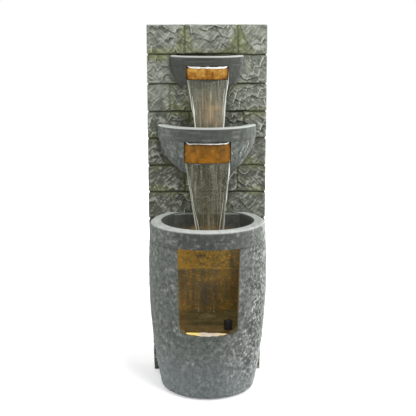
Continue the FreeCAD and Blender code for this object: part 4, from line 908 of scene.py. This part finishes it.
def low_back(name, size, seed):
    """A sheet across the back of a bowl, as wide at each height as the inside's chord at its front."""
    front_y = SEAT - LOW_WALL
    z = np.linspace(size.floor - WALL_OVERLAP, size.rim - LOW_WALL_DROP, 30)[:, None]
    inside = size.inside(np.maximum(z, size.floor)) + WALL_OVERLAP
    chord = np.sqrt(np.maximum(inside ** 2 - (size.axis_y - front_y) ** 2, 1e-6))
    x = np.linspace(-1, 1, 40)[None, :] * chord
    front = stack(x, front_y - 0.0005 * rough_noise(x, z, 0.011, seed, 3), z)
    # The back wall lies in painted shade, like the inside of the bowl
    return sheet_piece(name, front, stack(x, WALL_REAR, z), cast, {"brushed": 0.1, "deep": 0.5})


low_back("upper_bowl_back", UPPER, 201)
low_back("middle_bowl_back", MIDDLE, 202)

# %% [markdown]
# ## The basin
# The basin is a barrel: its side is a very flat arc that is widest at two thirds of its height.
# A groove sets off the collar, the rim is broad and rounded, and a tall window with soft lower corners looks
# in. It could be carved with a boolean, but turned like the bowls it gets its window from the same function.
# Its right side is brushed and pitted far more than its left, as on the real one, except beside the window.

# %% Basin outline
basin_low, basin_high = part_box("basin")
BASIN_RIM = basin_high.z
BASIN_FOOT = basin_low.z
BASIN_AXIS = SEAT - 0.100
BASIN_WALL = 0.034
BASIN_BACK = SEAT - 0.011
BASIN_FLOOR = 0.0255
COLLAR_LOW = BASIN_RIM - 0.047
WINDOW_LOW = COLLAR_LOW - 0.236
WINDOW_ROUND = 0.017
HALF_WINDOW = 0.0825
HALF_WINDOW_FOOT = 0.0785
BELLY_RADIUS = 0.163
BELLY_HEIGHT = 0.335
BELLY_ARC = 1.655
FOOT_ROUND = 0.015
BROAD_ROUND = 0.009
INNER_ROUND = 0.005
GROOVE = 0.005


def barrel(z, inset=0.0):
    """Radius of the barrel at a height: a long arc, drawn in by an inset."""
    return BELLY_RADIUS - BELLY_ARC + np.sqrt((BELLY_ARC - inset) ** 2 - (z - BELLY_HEIGHT) ** 2)


def barrel_rows(z, inset=0.0):
    """Outline rows of the barrel at some heights."""
    return stack(barrel(z, inset), z)


foot_r = float(barrel(BASIN_FOOT + FOOT_ROUND))
rim_r = float(barrel(BASIN_RIM))
inner_rim = float(barrel(BASIN_RIM, BASIN_WALL))
window_z = np.append(np.linspace(WINDOW_LOW, COLLAR_LOW - GROOVE, 72), [COLLAR_LOW - GROOVE / 2, COLLAR_LOW])
basin_parts = [
    np.linspace((0.0, BASIN_FOOT), (foot_r - FOOT_ROUND - 0.002, BASIN_FOOT), 5),
    arc_rows((foot_r - FOOT_ROUND, BASIN_FOOT + FOOT_ROUND), FOOT_ROUND, -90, -10, 6),
    barrel_rows(np.linspace(BASIN_FOOT + FOOT_ROUND, WINDOW_LOW, 56)[:-1]),
    barrel_rows(window_z),
    barrel_rows(np.linspace(COLLAR_LOW + 0.002, BASIN_RIM - BROAD_ROUND, 11)),
    arc_rows((rim_r - BROAD_ROUND, BASIN_RIM - BROAD_ROUND), BROAD_ROUND, 15, 90, 6),
    np.linspace((rim_r - BROAD_ROUND - 0.003, BASIN_RIM), (inner_rim + 0.006, BASIN_RIM), 6),
    arc_rows((inner_rim + INNER_ROUND, BASIN_RIM - INNER_ROUND), INNER_ROUND, 100, 180, 4),
    barrel_rows(np.linspace(BASIN_RIM - 0.009, COLLAR_LOW + 0.006, 6), BASIN_WALL),
    barrel_rows(window_z, BASIN_WALL)[::-1],
    barrel_rows(np.linspace(WINDOW_LOW - 0.008, BASIN_FLOOR, 18), BASIN_WALL),
    np.linspace((0.9 * float(barrel(BASIN_FLOOR, BASIN_WALL)), BASIN_FLOOR), (0.0, BASIN_FLOOR), 7),
]
basin_starts = np.cumsum([0] + [len(part) for part in basin_parts])
basin_outline = np.concatenate(basin_parts)
outer_rows = np.arange(basin_starts[3], basin_starts[4])
inner_rows = np.arange(basin_starts[9], basin_starts[10])[::-1]
INSIDE_FROM = basin_starts[7]
print("basin outline:", len(basin_outline), "rows")


# %% Relief of the basin
def right_side(angle, round_it, run, z):
    """How strongly the right side is worked: less by the window, at the far edge, on collar and foot."""
    beside_window = 0.34 * ease(z, WINDOW_LOW - 0.02, WINDOW_LOW + 0.07)
    wander = 0.18 * soft_noise(round_it, run, 0.03, 307)
    right = ease(angle + wander, 0.1 + beside_window, 0.85 + 0.3 * beside_window)
    right = right * (1 - 0.45 * ease(angle, 1.15, 1.7)) * (1 - 0.10 * ease(z, 0.28, 0.40))
    right = right * (1 - 0.65 * ease(z, COLLAR_LOW - 0.006, COLLAR_LOW + 0.004))
    return right * (0.45 + 0.55 * ease(z, 0.02, 0.10))


def basin_relief(angle, r, z):
    """Pits and roughness outside, stronger to the right; a groove under the collar; a smooth inside."""
    round_it, run = angle * r, z - r
    outside = np.zeros_like(z)
    outside[:INSIDE_FROM] = 1
    inside = 1 - outside
    rim_zone = ease(z, BASIN_RIM - 0.0055, BASIN_RIM - 0.0020)
    body = outside * (1 - rim_zone)
    right = right_side(angle, round_it, run, z)
    side = 0.50 + 0.50 * right
    pit = pitting(round_it + 0.4 * run, run, 0.0065, 301, 0.6) * body * side
    small = pitting(round_it, run, 0.0045, 302, 0.5) * body * side
    rough = rough_noise(round_it, run, 0.009, 303, 3)
    upright = soft_noise(round_it, run * 0.35, 0.006, 304)
    slanted = soft_noise(round_it - 0.6 * run, run + 0.6 * round_it, 0.0055, 305)
    seam = np.exp(-((z - COLLAR_LOW + GROOVE / 2) / 0.0022) ** 2) * outside
    depth = -0.0013 * pit - 0.0008 * small + 0.0006 * rough * body + 0.0003 * upright * body - 0.0022 * seam
    # Paler to the far right, brushed paint and a painted highlight; a painted highlight on the rim's front
    far_right = 0.45 * ease(angle, 0.9, 1.40) * (1 + rough)
    pale_foot = (0.09 + 0.05 * ease(angle, 0.2, 0.8)) * (1 - ease(z, 0.04, 0.20))
    pale = rim_zone * (0.68 + 0.15 * rough + 0.3 * np.exp(-(angle / 0.6) ** 2)) * outside
    pale = pale + body * (far_right + pale_foot)
    scratch = ease(soft_noise(0.22 * round_it, run, 0.0042, 306), 0.35, 0.9)
    scratch = scratch * ease(z, COLLAR_LOW, COLLAR_LOW + 0.01)
    brushed = largest(ease(rough + 0.5 * upright, 0.2, 1.1) * 0.43, ease(slanted, -0.15, 0.5) * right,
                      0.22 * scratch) * body
    dark = largest(pit, 0.8 * small, ease(-slanted, 0.15, 0.6) * right * body, 0.55 * seam)
    # Painted shade on the front of the collar and over the whole inside
    collar_front = ease(z, COLLAR_LOW - 0.02, COLLAR_LOW + 0.01) * (1 - ease(np.abs(angle), 0.3, 1.0)) * body
    # Painted light of the lamp in the pool on the inside, from near the floor up to under the collar
    glow = inside * ease(z, 0.05, 0.30) * (1 - ease(z, 0.39, 0.43)) * (0.8 + 0.3 * rough)
    return depth, {"pit": np.clip(dark, 0, 1), "pale": np.clip(pale, 0, 1), "brushed": brushed,
                   "cool": 0.6 * body * (1 - ease(z, 0.03, 0.20)),
                   "glow": np.clip(glow, 0, 1), "deep": np.maximum(0.8 * inside, 0.6 * collar_front)}


# %% Basin shell
window_half = np.interp(basin_outline[:, 1:], [WINDOW_LOW + WINDOW_ROUND, COLLAR_LOW],
                        [HALF_WINDOW_FOOT, HALF_WINDOW])
basin_shell = pot_piece("basin_stone", basin_outline, (outer_rows, inner_rows), window_half, BASIN_AXIS,
                        (88, 60), basin_relief, WINDOW_ROUND)
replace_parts(basin_shell, "basin")

# %% [markdown]
# ## Inside the basin
# Through the window the back wall shows, lit amber by the lamp in the pool. The upper part is rough and
# bright, a thin ledge crosses it, and below the ledge the wall is smoother and darker. A lamp in the water
# would need many samples, so it is one sheet whose depth steps at the ledge, with the glow as a mark.

# %% Shape of the back wall
LEDGE_Z = 0.312
LEDGE_STEP = 0.0015
CORNER_ROUND = 0.024
z = np.concatenate([np.linspace(BASIN_FLOOR - WALL_OVERLAP, LEDGE_Z, 50),
                    np.linspace(LEDGE_Z + LEDGE_STEP, BASIN_RIM - 0.0016, 40)])[:, None]
across = np.linspace(-1, 1, 90)[None, :]
x = across * np.sqrt((barrel(z, BASIN_WALL) + 0.003) ** 2 - (BASIN_BACK - CORNER_ROUND - BASIN_AXIS) ** 2)
above = ease(z, LEDGE_Z, LEDGE_Z + LEDGE_STEP)
grit = rough_noise(x, z, 0.014, 331, 3)
corner = CORNER_ROUND * (1 - np.sqrt(1 - np.clip((np.abs(across) - 0.55) / 0.45, 0, 1) ** 2))
wall_y = BASIN_BACK - corner - (1 - above) * 0.0012 - 0.0010 * grit * above - 0.0003 * grit
print("back wall of", x.size, "points")

# %% Light on the back wall
middle = np.exp(-(x / 0.045) ** 2)
top_light = 1 - ease(z, 0.385 + 0.02 * middle, 0.43 + 0.03 * middle)
left_strip = 0.45 * (1 - ease(x, -0.074, -0.060))
band = above * top_light * (0.80 + 0.30 * grit + 0.45 * rough_noise(x, z, 0.006, 341, 2) + left_strip)
band = band * (1.15 - 0.35 * ease(x, -0.04, 0.085))
golden = 0.42 * np.exp(-((z - 0.290) / 0.016) ** 2 - ((x - 0.012) / 0.06) ** 2)
golden = golden * (0.7 + 0.6 * soft_noise(x, z, 0.025, 337))
shaded = 0.14 * np.exp(-(((x - 0.01) / 0.03) ** 2 + ((z - 0.24) / 0.04) ** 2))
low_left = (0.05 + 0.20 * (1 - ease(x, -0.072, -0.045))) * (1 - ease(z, 0.22, 0.28))
below = 0.31 + golden + low_left - shaded + 0.07 * grit + 0.14 * soft_noise(x, 0.1 * z, 0.008, 335)
below = (1 - above) * below * ease(z, 0.02, 0.12)
# A painted highlight along the top of the inside, in the light and in the pale
glimmer = middle * np.exp(-((z - 0.430) / 0.007) ** 2)
lit_ledge = 0.35 * np.exp(-((z - LEDGE_Z) / 0.0025) ** 2) * ease(soft_noise(x, z, 0.03, 333), -0.4, 0.4)
specks = 0.5 * ease(-rough_noise(x, z, 0.004, 339, 2), 0.25, 0.9) * above * top_light
lit = ((band + lit_ledge) * (1 - 0.7 * specks) + below) * (1 - 0.45 * ease(x, 0.062, 0.072)) + 0.6 * glimmer
pale = 0.4 * ease(z, BASIN_RIM - 0.005, BASIN_RIM - 0.002) + 0.25 * glimmer
pale = pale + 0.022 * (1 - ease(z, 0.22, 0.28))
# The lamp's painted light on the back wall, with its painted highlight and painted shade
marks = {"pit": specks, "brushed": 0.05, "deep": 0.7, "pale": pale, "glow": np.clip(lit, 0, 1)}
sheet_piece("basin_back_wall", stack(x, wall_y, z), stack(x, WALL_REAR, z), cast, marks, rear=0)

# %% [markdown]
# ## Amber lips
# In each slot stands an amber lip with light behind it, and a film of water runs down its face.
# A plain glowing strip would look like a lamp, so the face is fluted by the running film and the light
# in it is uneven: streaks that run down, brighter above on the upper lip and below on the middle one.

# %% Amber finish
UPPER_GLOW = ((0.15, (0.05, 0.018, 0.003)), (0.55, (0.28, 0.110, 0.010)), (0.95, (0.58, 0.35, 0.07)))
MIDDLE_GLOW = ((0.15, (0.035, 0.014, 0.003)), (0.58, (0.158, 0.070, 0.006)), (0.95, (0.33, 0.13, 0.010)))


def amber_finish(name, stops):
    """Amber acrylic lit from behind: the mark of light picks a colour between dark, amber and bright."""
    amber = Finish(name, 0.6, base_color=(0.04, 0.018, 0.004), emission_strength=1.0)
    amber.shader.inputs["Specular IOR Level"].default_value = 0.15
    runs = amber.group(streaks, across=240.0, down=70.0)
    crumbs = amber.group(flecks, size=210.0, amount=0.22)
    lit = amber.maths("ADD", amber.mark("light"), amber.maths("MULTIPLY", runs["Mask"], 0.16))
    scale = add_node(amber.tree, "ValToRGB", fac=amber.maths("SUBTRACT", lit, crumbs["Mask"]))
    scale.color_ramp.elements.new(0.5)
    for element, (position, colour) in zip(scale.color_ramp.elements, stops):
        element.position = position
        element.color = (*colour, 1)
    amber.set(emission_color=scale.outputs["Color"])
    amber.bump(runs["Mask"], 0.4, 0.001)
    return amber


# %% Amber lips
LIP_GAP = 0.006
LIP_FRONT = 0.004
LIP_BACK = 0.011


def spill_lip(name, node, size, finish, upward, seed):
    """A curved strip at an inset from the belly, with a fluted face; its mark says how brightly it is lit."""
    half = size.half_slot - 0.001
    top = size.collar - LIP_GAP
    z = np.linspace(size.sill, top, 24)[:, None]
    x = np.linspace(-half, half, 90)[None, :]
    flute = 0.0006 * soft_noise(x, z * 0.12, 0.004, seed) + 0.0004 * soft_noise(x, z * 0.3, 0.009, seed + 1)
    front, back = (size.axis_y - np.sqrt(size.belly(z, inset) ** 2 - x ** 2)
                   for inset in (LIP_FRONT, LIP_BACK))
    share = (z - size.sill) / (top - size.sill)
    from_end = np.minimum(half - np.abs(x), 1.4 * (z - size.sill))
    light = 0.62 + 0.22 * upward * (share - 0.5) + 0.20 * rough_noise(x, z, 0.013, seed + 2, 3)
    light = light - 0.35 * (1 - ease(from_end, 0.0, 0.005)) - 0.3 * ease(share, 0.86, 1.0)
    lip = sheet_piece(name, stack(x, front - flute, z), stack(x, back, z), finish, {"light": light})
    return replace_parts(lip, node)


spill_lip("upper_amber_lip", "upper_spill_lip", UPPER, amber_finish("amber_upper", UPPER_GLOW), 1, 401)
spill_lip("middle_amber_lip", "middle_spill_lip", MIDDLE, amber_finish("amber_middle", MIDDLE_GLOW), -1, 411)

# %% [markdown]
# ## Falling water
# The water leaves each lip as a thin clear sheet that draws in as it falls. Its two edges gather into bright
# ropes. Real glass would need many samples and would not survive a simple export, so the sheet is nearly
# clear: its Alpha is low in the middle, higher along the streaks, and highest at the edges.

# %% Water finishes
def water_finish(name, colour, clear, streaky, roughness):
    """Pale water whose Alpha adds a clear share, running streaks and the mark of foam."""
    water = Finish(name, roughness)
    runs = water.group(streaks, across=260.0, down=6.0)
    # The tint mark paints amber light into the water's colour, and below it makes the water less clear
    body = water.tint(colour, ("tint", 1.0, (0.42, 0.28, 0.14)))
    body = water.mix(water.maths("MULTIPLY", runs["Mask"], 0.5), body, (0.45, 0.44, 0.33))
    veil = water.maths("ADD", water.maths("MULTIPLY", runs["Mask"], streaky), clear)
    veil = water.maths("ADD", veil, water.mark("tint", 0.35))
    veil = water.maths("ADD", veil, water.mark("foam"), True)
    water.set(base_color=water.tint(body, ("foam", 1.0, (0.92, 0.93, 0.89))),
              alpha=water.maths("MULTIPLY", veil, water.mark("body")))
    water.bump(runs["Mask"], 0.3, 0.001)
    return water


upper_water = water_finish("upper_water", (0.112, 0.118, 0.080), 0.34, 0.20, 0.35)
# Painted shade: the middle fall is darker and less clear, for the shaded underside of the bowl behind it
middle_water = water_finish("middle_water", (0.058, 0.057, 0.020), 0.40, 0.20, 0.35)
foam_water = water_finish("foam_water", (0.80, 0.81, 0.72), 0.08, 0.1, 0.3)
pool_water = water_finish("pool_water", (0.06, 0.07, 0.06), 0.62, 0.05, 0.10)
waters = (upper_water, middle_water, foam_water, pool_water)
print("water finishes:", ", ".join(water.material.name for water in waters))

# %% Sheets of water
FALL_Y = 0.0355
UPPER_FALL = ((0.853, 0.800, 0.726, 0.690), 0.004)
MIDDLE_FALL = ((0.624, 0.580, 0.537, 0.490, 0.443, 0.216, 0.200), 0.006)
BEHIND_COLLAR = (0.385, 0.43)
SHEET_THICK = 0.0012


def fall_depth(fall, z, side):
    """How far back the water is at a height: it leans out as it falls, and its sides start further back."""
    heights, lean = fall
    drop = np.clip((heights[0] - z) / (heights[0] - heights[-1]), 0, 1)
    return FALL_Y - lean * np.sqrt(drop) + 0.010 * side ** 2 * (1 - drop)


def falling_sheet(name, fall, left, right, tint, finish, seed):
    """A thin sheet between edges that draw in as they fall; ripples run down it and foam marks its edges."""
    heights = fall[0]
    z = np.linspace(heights[0], heights[-1], 110)[::-1, None]
    x_left, x_right = (np.interp(z, heights[::-1], edge[::-1]) for edge in (left, right))
    t = np.linspace(0, 1, 70)[None, :]
    x = x_left + (x_right - x_left) * t
    front = stack(x, fall_depth(fall, z, 2 * t - 1) + 0.0007 * soft_noise(x, z * 0.12, 0.005, seed), z)
    from_edge = np.minimum(x - x_left, x_right - x)
    foam = 0.30 * (1 - ease(from_edge, 0.0, 0.006))
    foam = foam + 0.15 * ease(soft_noise(x, z * 0.08, 0.005, seed + 1), 0.45, 1)
    drop = (heights[0] - z) / (heights[0] - heights[-1])
    # Painted amber light from the lit lips, in the middle of the fall and growing as it drops
    warm = tint * np.exp(-((t - 0.56) / 0.50) ** 2) * ease(drop, 0.05, 0.55)
    warm = warm * (0.8 + 0.4 * soft_noise(x, z, 0.012, seed + 3))
    marks = {"foam": foam, "tint": warm, "body": 0.05 + 0.95 * ease(z, *BEHIND_COLLAR)}
    return sheet_piece(name, front, front + (0, SHEET_THICK, 0), finish, marks)


falling_sheet("upper_fall", UPPER_FALL, (-0.0550, -0.0455, -0.0345, -0.032), (0.0565, 0.0490, 0.0440, 0.043),
              0.8, upper_water, 501)
falling_sheet("middle_fall", MIDDLE_FALL, (-0.0610, -0.0535, -0.0465, -0.0395, -0.0320, -0.0245, -0.024),
              (0.0615, 0.0575, 0.0535, 0.0490, 0.0455, 0.0200, 0.019), 0.20, middle_water, 511)


# %% A tube along a path
def tube_along(path, radius, sides=10):
    """A closed tube: at each point of a path a circle square to it, and at each end a single point."""
    run = np.gradient(path, axis=0)
    run /= np.linalg.norm(run, axis=1, keepdims=True)
    aside = np.cross(run, (0.0, 1.0, 0.0))
    aside /= np.linalg.norm(aside, axis=1, keepdims=True)
    third = np.cross(run, aside)
    turn = np.linspace(0, 2 * np.pi, sides, endpoint=False)
    ring = aside[:, None] * np.cos(turn)[None, :, None] + third[:, None] * np.sin(turn)[None, :, None]
    points = path[:, None] + ring * radius[:, None, None]
    first, last = (np.repeat(path[end, None, None], sides, axis=1) for end in (0, -1))
    points = np.concatenate([first, points, last])
    return points, grid_quads(len(points), sides, around=True)


# %% Strands of water
def water_strand(name, fall, heights, places, thick, side, bright, seed):
    """A strand of water down a sheet: a tube that swells and thins at random and tapers at both ends."""
    z = np.linspace(heights[0], heights[-1], 90)
    x = np.interp(z, heights[::-1], places[::-1]) + 0.0004 * soft_noise(z, 0 * z, 0.02, seed)
    run = np.linspace(0, 1, len(z))
    swell = 0.8 + 0.5 * soft_noise(z, 0 * z + 3.0, 0.022, seed + 1)
    radius = thick * swell * ease(run, 0.0, 0.25) * ease(1 - run, 0.0, 0.1)
    path = stack(x, fall_depth(fall, z, side) - 0.0015, z)
    points, quads = tube_along(path, np.maximum(radius, 0.0002))
    down = points[..., 2]
    foam = bright * (0.85 + 0.3 * soft_noise(down, 0 * down, 0.03, seed + 2))
    at_sill = heights[0] < WINDOW_LOW + 0.1
    shown = np.where(at_sill, 1.0, 0.02 + 0.98 * ease(down, *BEHIND_COLLAR))
    marks = {"foam": np.clip(foam, 0, 1), "body": shown}
    return make_piece(name, points, quads, foam_water, marks)


# Heights, places across, thickness, side and brightness
UPPER_STRANDS = (
    ((0.853, 0.805, 0.765), (-0.0545, -0.0460, -0.0405), 0.0010, 0.95, 0.55),
    ((0.812, 0.726, 0.690), (-0.0410, -0.0335, -0.0315), 0.0019, 0.80, 0.85),
    ((0.878, 0.853, 0.800, 0.726, 0.690), (0.0575, 0.0565, 0.0490, 0.0440, 0.0430), 0.0016, 1.00, 0.80),
    ((0.840, 0.800, 0.740), (0.0480, 0.0430, 0.0385), 0.0008, 0.85, 0.35),
)
MIDDLE_STRANDS = (
    ((0.624, 0.580, 0.537, 0.490, 0.430, 0.205), (-0.0610, -0.0535, -0.0465, -0.0395, -0.0290, -0.0245),
     0.0013, 1.00, 0.60),
    ((0.590, 0.540, 0.500, 0.430, 0.205), (-0.0500, -0.0430, -0.0370, -0.0215, -0.0170), 0.0011, 0.85, 0.60),
    ((0.634, 0.600, 0.560, 0.510), (0.0620, 0.0595, 0.0560, 0.0515), 0.0015, 1.00, 0.85),
    ((0.560, 0.490, 0.430, 0.205), (0.0545, 0.0485, 0.0445, 0.0195), 0.0012, 1.00, 0.38),
    ((0.560, 0.490, 0.430, 0.205), (0.0480, 0.0400, 0.0320, 0.0130), 0.0013, 0.80, 0.30),
    ((0.230, 0.215, 0.199), (-0.0245, -0.0250, -0.0240), 0.0013, 1.00, 0.60),
    ((0.230, 0.215, 0.199), (0.0180, 0.0185, 0.0180), 0.0013, 1.00, 0.60),
)
seed = 521
for tier, fall, strands in (("upper", UPPER_FALL, UPPER_STRANDS), ("middle", MIDDLE_FALL, MIDDLE_STRANDS)):
    for number, strand in enumerate(strands, 1):
        water_strand(f"{tier}_strand_{number}", fall, *strand, seed)
        seed += 3

# %% [markdown]
# ## Crests over the lips
# Where the water comes over each lip it breaks into a bright white line. A curve with a bevel would make a
# plain bar, so it is a tube along the lip's top edge whose height and thickness wander like moving water.

# %% Crests
def crest(name, size, thick, lift, curl, seed):
    """A tube on top of a lip: it follows the belly, its height and thickness wander, and its ends curl up."""
    half = size.half_slot - 0.002
    x = np.linspace(-half, half, 120)
    top = size.collar - LIP_GAP
    y = size.axis_y - np.sqrt(size.belly(top, 0.003) ** 2 - x ** 2)
    z = top + lift + 0.0007 * soft_noise(x, 0 * x, 0.012, seed) + curl * ease(np.abs(x), 0.8 * half, half)
    radius = thick * (1 + 0.35 * soft_noise(x, 0 * x + 5.0, 0.008, seed + 1))
    radius = radius * (0.35 + 0.65 * ease(half - np.abs(x), 0, 0.01))
    points, quads = tube_along(stack(x, y, z), radius, 12)
    full = np.ones(points.shape[:2])
    return make_piece(name, points, quads, foam_water, {"foam": full, "body": full})


crest("upper_crest", UPPER, 0.0027, 0.0012, 0.003, 541)
crest("middle_crest", MIDDLE, 0.0017, 0.0010, 0.006, 551)

# %% [markdown]
# ## Pools
# Still water fills each tier to just under the place where it spills, and rings spread from where the sheet
# lands. A fluid simulation could do this, but a disc of rings and spokes, cut off by the back wall, gives
# round ripples with few faces.

# %% Pool finish
# The pool glows with the lamp's painted light, warm by the window, with a dark line of painted shade
lamplit_pool = Finish("lamplit_pool", 0.25, emission_strength=0.7)
depths = lamplit_pool.group(weathering, dark=(0.031, 0.025, 0.010), light=(0.073, 0.058, 0.024),
                          patch=30.0, grain=120.0)
lamplit_depths = lamplit_pool.tint(depths["Colour"], ("tint", 1.0, (0.15, 0.075, 0.022)),
                        ("shade", 1.0, (0.012, 0.009, 0.004)))
lamplit_pool.set(base_color=lamplit_pool.tint(lamplit_depths, ("foam", 1.0, (0.5, 0.42, 0.25))), emission_color=lamplit_depths)
print("pool finish:", len(lamplit_pool.tree.nodes), "nodes")


# %% Pools
POOL_THICK = 0.003


def pool(name, axis_y, radius, back_y, level, landing, finish, seed, lamp=0.0):
    """A water surface: spokes from the landing point to the wall, with ripples that die out along them.

    Where a lamp stands in the pool, its light is painted warm on the water near the window,
    and a dark line of painted shade lies behind it.
    """
    turn = np.linspace(0, 2 * np.pi, 120, endpoint=False)[None, :]
    wall_y = np.minimum(axis_y - radius * np.cos(turn), back_y)
    s = np.linspace(0, 1, 40)[:, None]
    x = radius * np.sin(turn) * s
    y = landing + (wall_y - landing) * s
    far = np.hypot(x, y - landing)
    z = level + 0.0011 * np.sin(far / 0.0042) * np.exp(-far / 0.04) + 0.0004 * soft_noise(x, y, 0.012, seed)
    top = stack(x, y, z)
    points = np.concatenate([top, top[::-1] - (0, 0, POOL_THICK)])
    foam = 0.5 * (1 - ease(far, 0.01, 0.04)) * (0.5 + 0.5 * soft_noise(x, y, 0.006, seed + 1))
    # Painted light of the lamp on the water, near the window and on the left
    warm = 0.34 * ease(-y, 0.052, 0.068) * np.exp(-(x / 0.055) ** 4) + 0.30 * (1 - ease(x, -0.072, -0.050))
    warm = lamp * warm * (0.7 + 0.6 * soft_noise(x, y, 0.014, seed + 2))
    # A dark line of painted shade behind the warm water
    line = lamp * 0.55 * np.exp(-((y + 0.040) / 0.018) ** 2 - (x / 0.060) ** 4)
    marks = {"foam": foam, "tint": warm, "shade": line, "body": 1 + 0 * foam}
    both = {label: np.clip(np.concatenate([values, values[::-1]]), 0, 1) for label, values in marks.items()}
    quads = grid_quads(*points.shape[:2], around=True)[..., ::-1]
    return make_piece(name, points, quads, finish, both)


WATER_OVERLAP = 0.001
POOL_Z = WINDOW_LOW - 0.002
for name, size, level, landing, seed in (("upper_pool", UPPER, 0.8905, 0.072, 561),
                                         ("middle_pool", MIDDLE, 0.6865, FALL_Y, 571)):
    pool(name, size.axis_y, size.radius - size.rim_wall + WATER_OVERLAP, SEAT - LOW_WALL, level, landing,
         pool_water, seed)
pool("basin_pool", BASIN_AXIS, float(barrel(POOL_Z, BASIN_WALL)) + WATER_OVERLAP, BASIN_BACK, POOL_Z, FALL_Y,
     lamplit_pool, 581, 1.0)

# %% [markdown]
# ## Light on the sill
# The window's sill is wet and the lamp in the pool shines up through that film, so it shows as a bright
# crescent. A lamp under glass would light too much round it, so a thin sheet that follows the sill from the
# outside to the inside glows by itself.

# %% Sill finish
wet_sill = Finish("sill_film", 0.15, base_color=(0.05, 0.036, 0.016), emission_strength=1.0)
runs = wet_sill.group(flecks, size=70.0, amount=0.8)["Mask"]
gold = wet_sill.maths("ADD", wet_sill.mark("gold"), wet_sill.maths("MULTIPLY", runs, 0.3), True)
tone = wet_sill.mix(gold, (0.62, 0.52, 0.46), (0.92, 0.72, 0.20))
tone = wet_sill.mix(wet_sill.maths("MULTIPLY", runs, 0.6), tone, (1.0, 0.95, 0.80))
wet_sill.set(emission_color=wet_sill.mix(wet_sill.mark("lit"), (0.03, 0.015, 0.003), tone))
wet_sill.bump(runs, 0.3, 0.001)
print("sill finish:", len(wet_sill.tree.nodes), "nodes")

# %% Sill film
FILM_HALF = 0.060
FILM_SHIFT = -0.003
FILM_INSET = 0.003
FILM_THICK = 0.002
t = np.linspace(-1, 1, 60)[None, :]
q = np.linspace(0, 1, 12)[:, None]
x = t * FILM_HALF + FILM_SHIFT + 0 * q
outer_y, inner_y = (BASIN_AXIS - np.sqrt(barrel(WINDOW_LOW, inset) ** 2 - x ** 2)
                    for inset in (0.0, BASIN_WALL))
front_edge = outer_y + FILM_INSET + 0.013 * t ** 2
y = front_edge + (inner_y + FILM_INSET - front_edge) * q
z = WINDOW_LOW + 0.0012 + 0.0008 * soft_noise(x, y, 0.01, 591) - 0.0012 * (1 - ease(q, 0, 0.2))
lit_back = outer_y.min() + 0.031 - 0.003 * t - 0.008 * np.clip(t, 0, 1) ** 4
lit = 1 - ease(y + 0.0025 * soft_noise(x, y, 0.012, 593), lit_back - 0.004, lit_back + 0.001)
wander = 0.3 * soft_noise(x, 0 * x, 0.02, 595)
marks = {"lit": lit * (1 - ease(np.abs(t), 0.90, 1.0)),
         "gold": ease(wander - t, 0.20, 0.55) + 0.6 * ease(wander + t, 0.40, 0.85)}
film = stack(x, y, z)
sheet_piece("sill_film", film, film - (0, 0, FILM_THICK), wet_sill, marks)

# %% [markdown]
# ## Moulded, rubber and metal pieces
# What is left comes from the imported model as it is: the back panel and its door, screws, hinges, the gland,
# the lamp, and the pump with its hoses and leads. A moulded surface is never one flat colour, so each finish
# has a fine grain in colour from the same weathering group, and each moulded one a bump from that grain too.

# %% Finishes for the imported pieces
MOULD_PATCH = 25.0
MOULD_DEPTH = 0.0004
# Dark, light, roughness, grain and bump
MOULDED = {
    "black_plastic": ((0.016, 0.016, 0.018), (0.035, 0.035, 0.038), 0.45, 900.0, 0.25),
    "grey_panel": ((0.115, 0.12, 0.112), (0.175, 0.18, 0.17), 0.6, 420.0, 0.4),
    "dial_plastic": ((0.24, 0.25, 0.26), (0.33, 0.34, 0.35), 0.4, 700.0, 0.2),
    "black_rubber": ((0.012, 0.012, 0.012), (0.03, 0.03, 0.03), 0.75, 600.0, 0.3),
    "vinyl_hose": ((0.46, 0.49, 0.47), (0.60, 0.63, 0.61), 0.3, 300.0, 0.15),
    "steel": ((0.50, 0.50, 0.50), (0.66, 0.66, 0.66), 0.32, 800.0, 0.15),
    "magnet": ((0.08, 0.08, 0.085), (0.15, 0.15, 0.155), 0.5, 500.0, 0.3),
}
# Dark, light, roughness, patch, grain and strength of the light
LIT = {
    "light_bar": ((0.75, 0.50, 0.18), (0.95, 0.78, 0.45), 0.4, 40.0, 200.0, 0.5),
    "lamp_glass": ((0.85, 0.62, 0.25), (1.0, 0.85, 0.5), 0.12, 60.0, 300.0, 0.8),
}
finishes = {}
for slot, (dark, light, roughness, grain, bump) in MOULDED.items():
    finishes[slot] = weathered(slot, roughness, dark, light, MOULD_PATCH, grain, bump, MOULD_DEPTH,
                               metallic=float(slot == "steel"))
for slot, (dark, light, roughness, patch, grain, strength) in LIT.items():
    finishes[slot] = Finish(slot, roughness, emission_strength=strength)
    warm = finishes[slot].group(weathering, dark=dark, light=light, patch=patch, grain=grain)["Colour"]
    finishes[slot].set(base_color=warm, emission_color=warm)
dressed = 0
for entry in frame["record"]["subparts"]:
    for place in nodes[entry["node"]].material_slots:
        place.material = finishes.get(entry["material_slot"], cast).material
        dressed += 1
print(dressed, "slots of packed pieces dressed")
